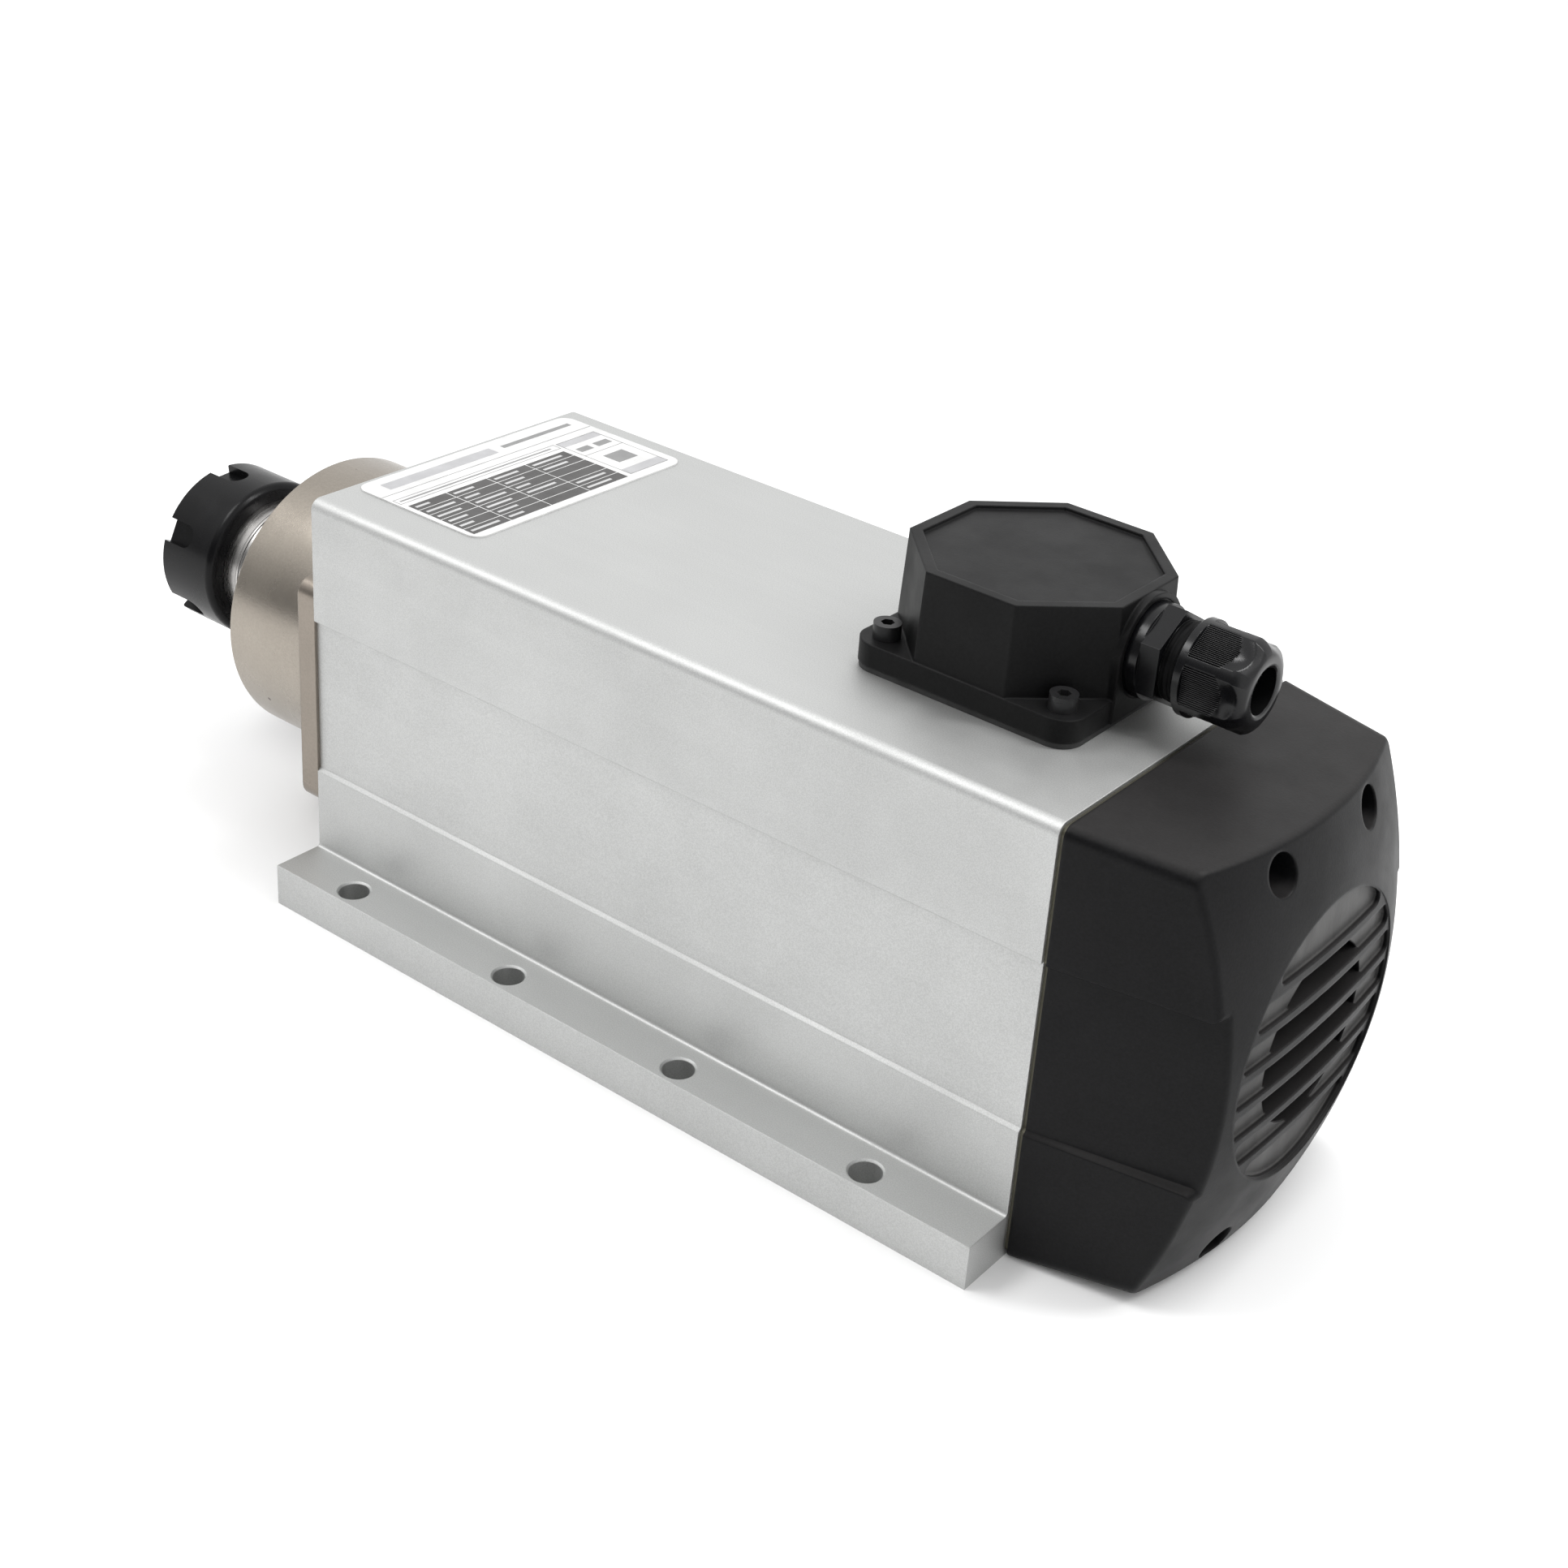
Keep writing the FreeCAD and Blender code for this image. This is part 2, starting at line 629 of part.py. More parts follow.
def spindle_shaft():
    play = TAPER_PLAY / math.cos(math.radians(TAPER_ANGLE))
    mouth = COLLET_R - taper_rise(COLLET_OUT) + play
    throat_x = COLLET_REAR - 1.0
    throat = mouth - taper_rise(NOSE_END - throat_x)
    locknut_rear = BEARING_B - LOCKNUT_WIDTH
    rear_seat = REAR_BEARING + REAR_WIDTH
    bore_end = BOSS_FRONT - 13.0
    shaft = turned([
        (FAN_END + 1.0, 0),
        (FAN_END + 1.0, FAN_SEAT_R),
        (FAN_SHOULDER, FAN_SEAT_R),
        (FAN_SHOULDER, REAR_NECK_R),
        (REAR_BEARING, REAR_NECK_R),
        (REAR_BEARING, REAR_BORE_R),
        (rear_seat, REAR_BORE_R),
        (rear_seat, REAR_SHOULDER_R),
        (rear_seat + 9.0, REAR_SHOULDER_R),
        (rear_seat + 9.0, ROTOR_SEAT_R),
        (locknut_rear, ROTOR_SEAT_R),
        (locknut_rear, FRONT_BORE_R),
        (BOSS_FRONT, FRONT_BORE_R),
        (BOSS_FRONT, NOSE_R),
        (NOSE_END - NOSE_CHAMFER, NOSE_R),
        (NOSE_END, NOSE_R - NOSE_CHAMFER),
        (NOSE_END, mouth),
        (throat_x, throat),
        (throat_x, DRAWBAR_BORE_R),
        (bore_end, DRAWBAR_BORE_R),
        (bore_end - 4.0, 0),
    ])
    hole = disc(M6_BUTTON[0], FAN_END, FAN_END + 16.0)
    save("spindle_shaft", shaft.cut(hole))


def collet():
    groove = COLLET_SHOULDER + COLLET_GROOVE_WIDTH
    small = COLLET_R - taper_rise(COLLET_TAPER_LENGTH)
    cone = (COLLET_FRONT - groove) * math.tan(math.radians(30))
    body = turned([
        (COLLET_REAR, COLLET_BORE_R),
        (COLLET_REAR, small),
        (COLLET_SHOULDER, COLLET_R),
        (COLLET_SHOULDER, COLLET_GROOVE_R),
        (groove, COLLET_GROOVE_R),
        (groove, COLLET_R),
        (COLLET_FRONT, COLLET_R - cone),
        (COLLET_FRONT, COLLET_BORE_R),
    ])
    half = COLLET_SLOT_WIDTH / 2
    top = AXIS_Z + COLLET_R + 1
    low = AXIS_Z + COLLET_BORE_R - 1
    front_slot = box(COLLET_REAR + 5, COLLET_FRONT + 1, -half, half, low, top)
    rear_slot = box(COLLET_REAR - 1, COLLET_FRONT - 6, -half, half, low, top)
    slots = around(front_slot, COLLET_SLOTS, COLLET_SLOT_ANGLE)
    slots += around(rear_slot, COLLET_SLOTS, COLLET_SLOT_ANGLE + 180.0 / COLLET_SLOTS)
    save("collet", body.cut(slots))


def collet_nut():
    groove = COLLET_SHOULDER + COLLET_GROOVE_WIDTH
    lip_front = groove - RUNNING_GAP
    lip_rear = COLLET_SHOULDER + RUNNING_GAP
    fall = math.tan(math.radians(30))
    cone_r = COLLET_R + RUNNING_GAP
    thread_r = NOSE_R + THREAD_PLAY
    nut = turned([
        (NUT_REAR, thread_r),
        (NUT_REAR, NUT_R, NUT_BACK_R),
        (NUT_FRONT - NUT_RIM_CHAMFER, NUT_R),
        (NUT_FRONT, NUT_R - NUT_RIM_CHAMFER),
        (NUT_FRONT, cone_r - (NUT_FRONT - groove) * fall),
        (groove, cone_r),
        (lip_front, cone_r),
        (lip_front, NUT_LIP_R),
        (lip_rear, NUT_LIP_R),
        (lip_rear, thread_r),
    ])
    half = NUT_SLOT_WIDTH / 2
    end = NUT_FRONT - NUT_SLOT_LENGTH + half
    slot = box(end, NUT_FRONT + 1, -half, half, AXIS_Z + NUT_SLOT_FLOOR, AXIS_Z + NUT_R + 1)
    floor = Vector(end, 0, AXIS_Z + NUT_SLOT_FLOOR)
    slot = slot.fuse(Part.makeCylinder(half, NUT_R, floor, Z_DIR))
    save("collet_nut", nut.cut(around(slot, NUT_SLOTS, NUT_SLOT_ANGLE - 90.0)))


def flat_ring(outer, inner, holes, x0, length):
    """Plate with round and other holes, swept along the shaft."""
    rim = Part.Wire(Part.makeCircle(outer, Vector(x0, 0, AXIS_Z), X_DIR))
    bore = Part.Wire(Part.makeCircle(inner, Vector(x0, 0, AXIS_Z), X_DIR))
    face = Part.Face(rim).cut(Part.Face(bore))
    for hole in holes:
        face = face.cut(hole)
    return face.extrude(X_DIR * length)


def rotor_core():
    bar = Part.Face(Part.Wire(Part.makeCircle(
        ROTOR_BAR_R, Vector(STACK_REAR, 0, AXIS_Z + ROTOR_BAR_CIRCLE), X_DIR)))
    holes = around(bar, ROTOR_BARS)
    save("rotor_core", flat_ring(ROTOR_R, ROTOR_SEAT_R, holes, STACK_REAR, STACK_LENGTH))


def rotor_cage():
    """Cast end rings joined by the bars that run through the core."""
    bar = disc(ROTOR_BAR_R, STACK_REAR - 1, STACK_FRONT + 1, 0, AXIS_Z + ROTOR_BAR_CIRCLE)
    inner = ROTOR_SEAT_R + 1.0
    front = ring(ROTOR_R - 0.5, inner, STACK_FRONT, STACK_FRONT + END_RING_WIDTH)
    rear = ring(ROTOR_R - 0.5, inner, STACK_REAR - END_RING_WIDTH, STACK_REAR)
    save("rotor_cage", front.fuse([rear] + around(bar, ROTOR_BARS)))


def slot_face(play):
    """Cross section of one stator slot, at the rear face of the stack."""
    low = AXIS_Z + SLOT_INNER_R + play
    high = AXIS_Z + SLOT_OUTER_R - play
    narrow = SLOT_INNER_W / 2 - play
    wide = SLOT_OUTER_W / 2 - play
    corners = [(-narrow, low), (narrow, low), (wide, high), (-wide, high)]
    return Part.Face(outline(corners, across(STACK_REAR)))


def stator_core():
    holes = around(slot_face(0), STATOR_SLOTS)
    inner = ROTOR_R + RUNNING_GAP
    save("stator_core", flat_ring(STATOR_R, inner, holes, STACK_REAR, STACK_LENGTH))


def end_turns(x0, x1):
    near, far = sorted((x0, x1))
    edge = END_TURN_BEVEL
    return turned([
        (near, END_TURN_INNER_R + edge),
        (near, END_TURN_OUTER_R - edge),
        (near + edge, END_TURN_OUTER_R),
        (far - edge, END_TURN_OUTER_R),
        (far, END_TURN_OUTER_R - edge),
        (far, END_TURN_INNER_R + edge),
        (far - edge, END_TURN_INNER_R),
        (near + edge, END_TURN_INNER_R),
    ])


def stator_windings():
    bar = slot_face(0.1).extrude(X_DIR * (STACK_LENGTH + 8))
    bar.translate(X_DIR * -4)
    front = end_turns(STACK_FRONT + 1, STACK_FRONT + END_TURN_LENGTH)
    rear = end_turns(STACK_REAR - 1, STACK_REAR - END_TURN_LENGTH)
    save("stator_windings", front.fuse([rear] + around(bar, STATOR_SLOTS)))


def rear_end_shield():
    half = HALF_WIDTH - SHIELD_INSET
    band = half - BAND_STEP
    corner = BODY_EDGE_R - SHIELD_INSET
    side = stepped_side(half, band, SHIELD_INSET, BODY_HEIGHT - SHIELD_INSET, corner, corner)
    rim = prism(mirrored(side), across(SHIELD_BACK), X_DIR * SHIELD_RIM_T)
    windows = air_ducts()
    windows.translate(X_DIR * -SHIELD_RIM_T)
    rim = rim.cut(windows)
    hub_r = REAR_OUTER_R + SHIELD_HUB_WALL
    spigot_r = STATOR_R - SPIGOT_PLAY
    seat = REAR_BEARING + REAR_WIDTH
    cup = turned([
        (SHIELD_BACK, REAR_NECK_R + RUNNING_GAP),
        (SHIELD_BACK, spigot_r),
        (BODY_REAR + SPIGOT_LENGTH, spigot_r),
        (BODY_REAR + SPIGOT_LENGTH, spigot_r - SHIELD_SPIGOT_WALL),
        (SHIELD_FLOOR, spigot_r - SHIELD_SPIGOT_WALL, 2.0),
        (SHIELD_FLOOR, hub_r, 2.0),
        (seat, hub_r),
        (seat, REAR_OUTER_R),
        (REAR_BEARING - SPRING_ROOM, REAR_OUTER_R),
        (REAR_BEARING - SPRING_ROOM, REAR_NECK_R + RUNNING_GAP),
    ])
    holes = []
    for y, z in four(SHIELD_SCREW_Y, SHIELD_SCREW_Z):
        holes.append(disc(M5[0] + 0.25, SHIELD_BACK - 1, BODY_REAR + 1, y, z))
    for y, z in four(COVER_SCREW_Y, COVER_SCREW_Z):
        holes.append(disc(M5[0] + 0.25, SHIELD_BACK - 1, BODY_REAR + 1, y, z))
    holes.append(disc(REAR_NECK_R + RUNNING_GAP, SHIELD_BACK - 1, BODY_REAR + 1))
    save("rear_end_shield", rim.cut(holes).fuse(cup))


def rear_shield_screws():
    screws = []
    for y, z in four(SHIELD_SCREW_Y, SHIELD_SCREW_Z):
        screws.append(cap_screw(Vector(SHIELD_BACK, y, z), X_DIR * -1, M5_LOW, SHIELD_SCREW_LENGTH))
    save_group("rear_shield_screws", screws)


def wavy_edge(radius, middle, swing):
    points = []
    for i in range(36):
        angle = math.radians(10 * i)
        x = middle + swing * math.sin(3 * angle)
        points.append(Vector(x, radius * math.cos(angle), AXIS_Z + radius * math.sin(angle)))
    curve = Part.BSplineCurve()
    curve.interpolate(points, PeriodicFlag=True)
    return curve.toShape()


def wave_spring():
    """Thin waved washer that presses the rear bearing forward."""
    sheet = 0.5
    middle = REAR_BEARING - SPRING_ROOM / 2 - sheet / 2
    swing = (SPRING_ROOM - sheet) / 2 - 0.02
    inner = wavy_edge(REAR_OUTER_R - 3.2, middle, swing)
    outer = wavy_edge(REAR_OUTER_R - 0.3, middle, swing)
    save("wave_spring", Part.makeRuledSurface(inner, outer).extrude(X_DIR * sheet))


def cover_section(depth, inset):
    """Outline of the fan cover at a depth behind its front edge."""
    half = HALF_WIDTH - COVER_SIDE_DRAFT * depth - inset
    band = HALF_WIDTH - BAND_STEP - COVER_BAND_DRAFT * depth - inset
    bottom = COVER_BOTTOM_DRAFT * depth + inset
    top = BODY_HEIGHT - COVER_TOP_DRAFT * depth - inset
    soft = BODY_EDGE_R + 0.03 * depth - 0.4 * inset
    side = stepped_side(half, band, bottom, top, soft, soft)
    return outline(mirrored(side), across(SHIELD_BACK - depth))


def cover_block(inset, dome_r, front):
    """Drafted block closed by the dome; inset makes the room inside the shell."""
    deep = COVER_DEPTH + 2.0
    block = Part.makeLoft([cover_section(front, inset), cover_section(deep, inset)], True, True)
    return block.common(dome(dome_r))


def soft_cover_block():
    """Outside of the cover, with the edge round its dome rounded."""
    block = cover_block(0.0, COVER_DOME_R, 0.0)
    edges = []
    for face in block.Faces:
        if isinstance(face.Surface, Part.Sphere):
            edges.extend(face.Edges)
    return block.makeFillet(COVER_EDGE_R, edges)


def dome(radius):
    return Part.makeSphere(radius, Vector(DOME_X, 0, AXIS_Z))


def grille_crown(depth):
    """Nearly flat ball that the grille follows, at a depth below the dome's top."""
    return Part.makeSphere(GRILLE_CROWN_R, Vector(COVER_TOP_X + depth + GRILLE_CROWN_R, 0, GRILLE_Z))


def grille_disc(radius):
    """Round bar through the cover, about the middle of the grille."""
    return disc(radius, COVER_TOP_X - 2, SHIELD_BACK, 0, GRILLE_Z)


def grille_strip(low, high):
    """Strip of the grille between two heights, with rounded corners."""
    reach = GRILLE_R + 1
    band = box(COVER_TOP_X - 3, SHIELD_BACK + 1, -reach, reach, low, high)
    strip = grille_disc(GRILLE_R - STRIP_RIM).common(band)
    corners = []
    for edge in strip.Edges:
        middle = edge.CenterOfMass
        along = edge.BoundBox.XLength > edge.Length - 0.001
        if along and min(abs(middle.z - low), abs(middle.z - high)) < 0.001:
            corners.append(edge)
    return strip.makeFillet(STRIP_END_R, corners)


def grille_strips():
    """The strips left between the slats, and the two beyond the last slats."""
    slats = [GRILLE_Z + (i - (SLATS - 1) / 2) * SLAT_PITCH for i in range(SLATS)]
    half = SLAT_THICKNESS / 2
    lows = [GRILLE_Z - GRILLE_R - 1] + [z + half for z in slats]
    highs = [z - half for z in slats] + [GRILLE_Z + GRILLE_R + 1]
    return [grille_strip(low, high) for low, high in zip(lows, highs)]


def fan_cover():
    """Shell with a dome, a round louvred grille and four deep screw recesses."""
    outside = soft_cover_block()
    inside = cover_block(COVER_SHELL, COVER_DOME_R - COVER_SHELL, -1.0)
    shell = outside.cut(inside)

    # The grille lies deeper than the dome, so the shell is thickened behind it
    backing = grille_disc(GRILLE_R + COVER_SHELL).common(dome(COVER_DOME_R))
    backing = backing.cut(grille_crown(GRILLE_DEPTH + GRILLE_BACKING))
    columns = []
    recesses = []
    for y, z in four(COVER_SCREW_Y, COVER_SCREW_Z):
        columns.append(disc(COVER_COLUMN_R, COVER_TOP_X, SHIELD_BACK, y, z).common(outside))
        seat = BODY_REAR - COVER_RECESS_FLOOR
        recesses.append(disc(COVER_RECESS_R, COVER_TOP_X - 2, seat, y, z))
        recesses.append(disc(M5[0] + 0.25, COVER_TOP_X - 2, SHIELD_BACK + 1, y, z))
    cover = shell.fuse([backing] + columns)

    cover = cover.cut(grille_disc(GRILLE_R).cut(grille_crown(GRILLE_DEPTH - SLAT_RISE)))
    floor = grille_crown(GRILLE_DEPTH)
    opening = grille_disc(GRILLE_OPENING_R)
    for strip in grille_strips():
        cover = cover.cut(strip.cut(floor)).cut(strip.common(opening))
    save("fan_cover", cover.cut(recesses))


def fan_cover_screws():
    screws = []
    seat = BODY_REAR - COVER_RECESS_FLOOR
    for y, z in four(COVER_SCREW_Y, COVER_SCREW_Z):
        screws.append(cap_screw(Vector(seat, y, z), X_DIR * -1, M5_LOW, COVER_SCREW_LENGTH))
    save_group("fan_cover_screws", screws)


def blade_section(radius, chord, pitch, bow):
    """Bowed blade section at a radius, leaning by pitch from the shaft axis."""
    half = FAN_BLADE_T / 2
    lean = math.radians(pitch)
    corners = []
    for along, rise in ((-0.5, -half), (0.0, bow - half), (0.5, -half),
                        (0.5, half), (0.0, bow + half), (-0.5, half)):
        run = along * chord
        x = run * math.cos(lean) - rise * math.sin(lean)
        y = run * math.sin(lean) + rise * math.cos(lean)
        corners.append((x, y))
    middle = (FAN_SHOULDER + FAN_END) / 2
    place = lambda u, v: Vector(middle + u, v, AXIS_Z + radius)
    return outline(corners, place)


def fan():
    root = blade_section(FAN_HUB_R - 1.5, 19.0, 38.0, 1.5)
    middle = blade_section(0.5 * (FAN_HUB_R + FAN_TIP_R), 23.0, 50.0, 2.0)
    tip = blade_section(FAN_TIP_R + 1, 26.0, 60.0, 2.0)
    blade = Part.makeLoft([root, middle, tip], True, True)
    blade = blade.common(disc(FAN_TIP_R, FAN_END - 5, FAN_SHOULDER + 5))
    hub = turned([
        (FAN_END, FAN_SEAT_R),
        (FAN_END, FAN_HUB_R, 2.0),
        (FAN_SHOULDER, FAN_HUB_R, 1.0),
        (FAN_SHOULDER, FAN_SEAT_R),
    ])
    blades = [spun(blade, 360.0 * i / FAN_BLADES) for i in range(FAN_BLADES)]
    bore = disc(FAN_SEAT_R, FAN_END - 1, FAN_SHOULDER + 1)
    save("fan", hub.fuse(blades).cut(bore))


def fan_washer():
    save("fan_washer", ring(FAN_SEAT_R + 3.5, M6_BUTTON[0] + 0.2, FAN_END - 1.5, FAN_END))


def fan_screw():
    seat = Vector(FAN_END - 1.5, 0, AXIS_Z)
    save("fan_screw", cap_screw(seat, X_DIR * -1, M6_BUTTON, 14.0))


def octagon(flats, centre_x, centre_y, soft=0.0):
    """Eight-sided outline with flats square to X and Y."""
    radius = flats / 2 / math.cos(math.radians(22.5))
    corners = []
    for i in range(8):
        angle = math.radians(22.5 + 45 * i)
        corners.append((centre_x + radius * math.cos(angle), centre_y + radius * math.sin(angle), soft))
    return corners


def square(size, soft):
    half = size / 2
    return [
        (BOX_X - half, BOX_Y - half, soft),
        (BOX_X + half, BOX_Y - half, soft),
        (BOX_X + half, BOX_Y + half, soft),
        (BOX_X - half, BOX_Y + half, soft),
    ]


def tower(inset, z0, z1):
    """Drafted eight-sided tower of the box, between two heights."""
    draft = (BOX_ACROSS_FOOT - BOX_ACROSS_TOP) / BOX_TOP
    wires = []
    for z in (z0, z1):
        flats = BOX_ACROSS_FOOT - draft * (z - BODY_HEIGHT) - 2 * inset
        wires.append(outline(octagon(flats, BOX_X, BOX_Y), level(z)))
    return Part.makeLoft(wires, True, True)


def arched_pad(x0, x1, radius):
    """Upright slab with a round top, about the gland axis."""
    foot = box(x0, x1, BOX_Y - radius, BOX_Y + radius, BOX_FOOT_Z, GLAND_Z)
    return foot.fuse(disc(radius, x0, x1, BOX_Y, GLAND_Z))


def terminal_box():
    lid_under = BOX_TOP_Z - BOX_LID_RECESS - BOX_WALL
    base = prism(square(BOX_BASE, BOX_BASE_R), level(BOX_FOOT_Z), Z_DIR * (BOX_EAR_Z - BOX_FOOT_Z))
    body = base.fuse([tower(0, BOX_FOOT_Z, BOX_TOP_Z), arched_pad(PAD_X, BOX_X, PAD_R)])
    room = tower(BOX_WALL, BOX_FOOT_Z - 1, lid_under)
    lid_flats = BOX_ACROSS_TOP - 2 * BOX_RIM
    lid_z = BOX_TOP_Z - BOX_LID_RECESS
    lid = prism(octagon(lid_flats, BOX_X, BOX_Y), level(lid_z), Z_DIR * 2)
    # Flat inner face round the threaded hole
    below = box(PAD_X, PAD_INNER_X, -HALF_WIDTH, HALF_WIDTH, 0, BOX_FOOT_Z)
    inner_pad = arched_pad(PAD_X, PAD_INNER_X, PAD_R).cut(below)
    cuts = [room.cut(inner_pad), lid]
    cuts.append(disc(GLAND_THREAD_R, PAD_X - 1, PAD_INNER_X + 1, BOX_Y, GLAND_Z))
    cuts.append(disc(GLAND_RECESS_R, PAD_X - 1, PAD_X + GLAND_RECESS, BOX_Y, GLAND_Z))
    for x, y in box_screw_places():
        cuts.append(post(M4[0] + 0.2, x, y, BOX_FOOT_Z - 1, BOX_TOP_Z))
    save("terminal_box", body.cut(cuts))


def terminal_box_gasket():
    outer = square(BOX_BASE - 2 * GASKET_INSET, BOX_BASE_R - GASKET_INSET)
    sheet = prism(outer, level(BODY_HEIGHT), Z_DIR * GASKET_T)
    inner = octagon(BOX_ACROSS_FOOT - 2 * BOX_WALL, BOX_X, BOX_Y)
    cuts = [prism(inner, level(BODY_HEIGHT - 1), Z_DIR * (GASKET_T + 2))]
    for x, y in box_screw_places():
        cuts.append(post(M4[0] + 0.2, x, y, BODY_HEIGHT - 1, BOX_FOOT_Z + 1))
    save("terminal_box_gasket", sheet.cut(cuts))


def terminal_box_screws():
    screws = []
    for x, y in box_screw_places():
        screws.append(cap_screw(Vector(x, y, BOX_EAR_Z), Z_DIR, M4, BOX_SCREW_LENGTH))
    save_group("terminal_box_screws", screws)


def stud_rows():
    return [BOX_Y + STUD_PITCH * (i - 1) for i in range(3)]


def block_slab(y0, y1, top):
    return box(BLOCK_X - BLOCK_HALF_X, BLOCK_X + BLOCK_HALF_X, y0, y1, BODY_HEIGHT, top)


def terminal_block():
    """Block with a wall on each side of every stud."""
    top = BODY_HEIGHT + BLOCK_HEIGHT
    half = 1.5 * STUD_PITCH + BLOCK_WALL
    base = block_slab(BOX_Y - half, BOX_Y + half, top)
    walls = []
    for i in range(4):
        y = BOX_Y + STUD_PITCH * (i - 1.5)
        walls.append(block_slab(y - BLOCK_WALL / 2, y + BLOCK_WALL / 2, top + BLOCK_WALL_RISE))
    holes = [post(STUD_R, BLOCK_X, y, BODY_HEIGHT + 3, top + 1) for y in stud_rows()]
    save("terminal_block", base.fuse(walls).cut(holes))


def terminal_studs():
    """Studs with their nuts, standing in the block."""
    studs = []
    for y in stud_rows():
        stud = post(STUD_R, BLOCK_X, y, BODY_HEIGHT + 3, BODY_HEIGHT + BLOCK_HEIGHT + STUD_RISE)
        foot = Vector(BLOCK_X, y, BODY_HEIGHT + BLOCK_HEIGHT + LEAD_EYE_T)
        studs.append(stud.fuse(hexagon(3.5 * STUD_R, foot, Z_DIR * 1.5 * STUD_R)))
    save_group("terminal_studs", studs)


def rod(radius, start, end):
    """Round bar between two points, with a ball at its far end."""
    bar = Part.makeCylinder(radius, start.distanceToPoint(end), start, end - start)
    return [bar, Part.makeSphere(radius, end)]


def lead(y_low, y_high):
    """Winding lead: up from the windings, over to its stud, with a flat eye under the nut."""
    eye_z = BODY_HEIGHT + BLOCK_HEIGHT
    eye_t = LEAD_EYE_T
    rise = math.sqrt(END_TURN_OUTER_R ** 2 - (abs(y_low) - LEAD_R) ** 2)
    start = Vector(LEAD_X, y_low, AXIS_Z + rise + 0.05)
    elbow = Vector(LEAD_X, y_low, BODY_HEIGHT + LEAD_ELBOW)
    end = Vector(BLOCK_X - 6.5, y_high, eye_z + eye_t + 0.6 * LEAD_R)
    eye = post(STUD_R + 2.2, BLOCK_X, y_high, eye_z, eye_z + eye_t)
    tail = box(BLOCK_X - 7.5, BLOCK_X, y_high - 1.8, y_high + 1.8, eye_z, eye_z + eye_t)
    wire = eye.fuse([tail] + rod(LEAD_R, start, elbow) + rod(LEAD_R, elbow, end))
    return wire.cut(post(STUD_R, BLOCK_X, y_high, eye_z - 1, eye_z + 6))


def motor_leads():
    lows = [BOX_Y - 4.0, BOX_Y, BOX_Y + 4.0]
    save_group("motor_leads", [lead(low, high) for low, high in zip(lows, stud_rows())])


def gland_body():
    """Hollow body: thread through the wall, round flange, hexagon, thread for the nut."""
    inner_end = PAD_INNER_X + 1.5
    outer_end = GLAND_NUT_X - 7.0
    parts = [
        disc(GLAND_THREAD_R - THREAD_PLAY, outer_end, inner_end, BOX_Y, GLAND_Z),
        disc(GLAND_FLANGE_R, HEX_X, PAD_X + GLAND_RECESS, BOX_Y, GLAND_Z),
        hexagon(GLAND_HEX, Vector(THREAD_X, BOX_Y, GLAND_Z), X_DIR * GLAND_HEX_LENGTH, Z_DIR),
    ]
    body = parts[0].fuse(parts[1:])
    bore = disc(GLAND_CABLE_R + 1.4, outer_end - 1, inner_end + 1, BOX_Y, GLAND_Z)
    seat = disc(GLAND_CABLE_R + 2.8, outer_end - 1, THREAD_X, BOX_Y, GLAND_Z)
    save("gland_body", body.cut([bore, seat]))


def gland_seal():
    x1 = THREAD_X - 1.0
    seal = ring(GLAND_CABLE_R + 1.3, GLAND_CABLE_R, GLAND_END_X + 7.0, x1, BOX_Y, GLAND_Z)
    save("gland_seal", seal)


def gland_claw():
    """Ring of fingers round the seal."""
    x0 = GLAND_END_X + 7.0
    x1 = THREAD_X - 1.0
    claw = ring(GLAND_CABLE_R + 2.5, GLAND_CABLE_R + 1.3, x0, x1, BOX_Y, GLAND_Z)
    slot = box(x0 - 1, x1 - 6, BOX_Y - 0.5, BOX_Y + 0.5, GLAND_Z, GLAND_Z + 15)
    slots = []
    for i in range(8):
        cut = slot.copy()
        cut.rotate(Vector(0, BOX_Y, GLAND_Z), X_DIR, 45.0 * i)
        slots.append(cut)
    save("gland_claw", claw.cut(slots))


def gland_nut():
    """Domed cap nut with a six-sided grip."""
    grip_end = GLAND_END_X + GLAND_DOME
    collar = disc(GLAND_NUT_R, GLAND_NUT_X - GLAND_COLLAR, GLAND_NUT_X, BOX_Y, GLAND_Z)
    length = GLAND_NUT_X - GLAND_COLLAR - GLAND_END_X
    grip = hexagon(GLAND_NUT_HEX, Vector(GLAND_END_X, BOX_Y, GLAND_Z), X_DIR * length, Z_DIR)
    place = lambda u, v: Vector(u, BOX_Y, GLAND_Z + v)
    mould = outline([
        (GLAND_END_X, 0),
        (GLAND_END_X, GLAND_DOME_R, 0.8),
        (grip_end, GLAND_NUT_R, GLAND_DOME_SOFT),
        (GLAND_NUT_X - GLAND_COLLAR, GLAND_NUT_R - 0.2),
        (GLAND_NUT_X - GLAND_COLLAR, 0),
    ], place)
    foot = Vector(0, BOX_Y, GLAND_Z)
    grip = grip.common(Part.Face(mould).revolve(foot, X_DIR, 360))
    thread_end = GLAND_NUT_X - 8.0
    cone_end = GLAND_END_X + 6.5
    hollow = outline([
        (GLAND_NUT_X + 1, 0),
        (GLAND_NUT_X + 1, GLAND_THREAD_R + THREAD_PLAY),
        (thread_end, GLAND_THREAD_R + THREAD_PLAY),
        (thread_end, GLAND_CABLE_R + 2.8),
        (cone_end, GLAND_CABLE_R + 2.8),
        (GLAND_END_X + 3.0, GLAND_CABLE_R),
        (GLAND_END_X - 1, GLAND_CABLE_R),
        (GLAND_END_X - 1, 0),
    ], place)
    save("gland_nut", collar.fuse(grip).cut(Part.Face(hollow).revolve(foot, X_DIR, 360)))


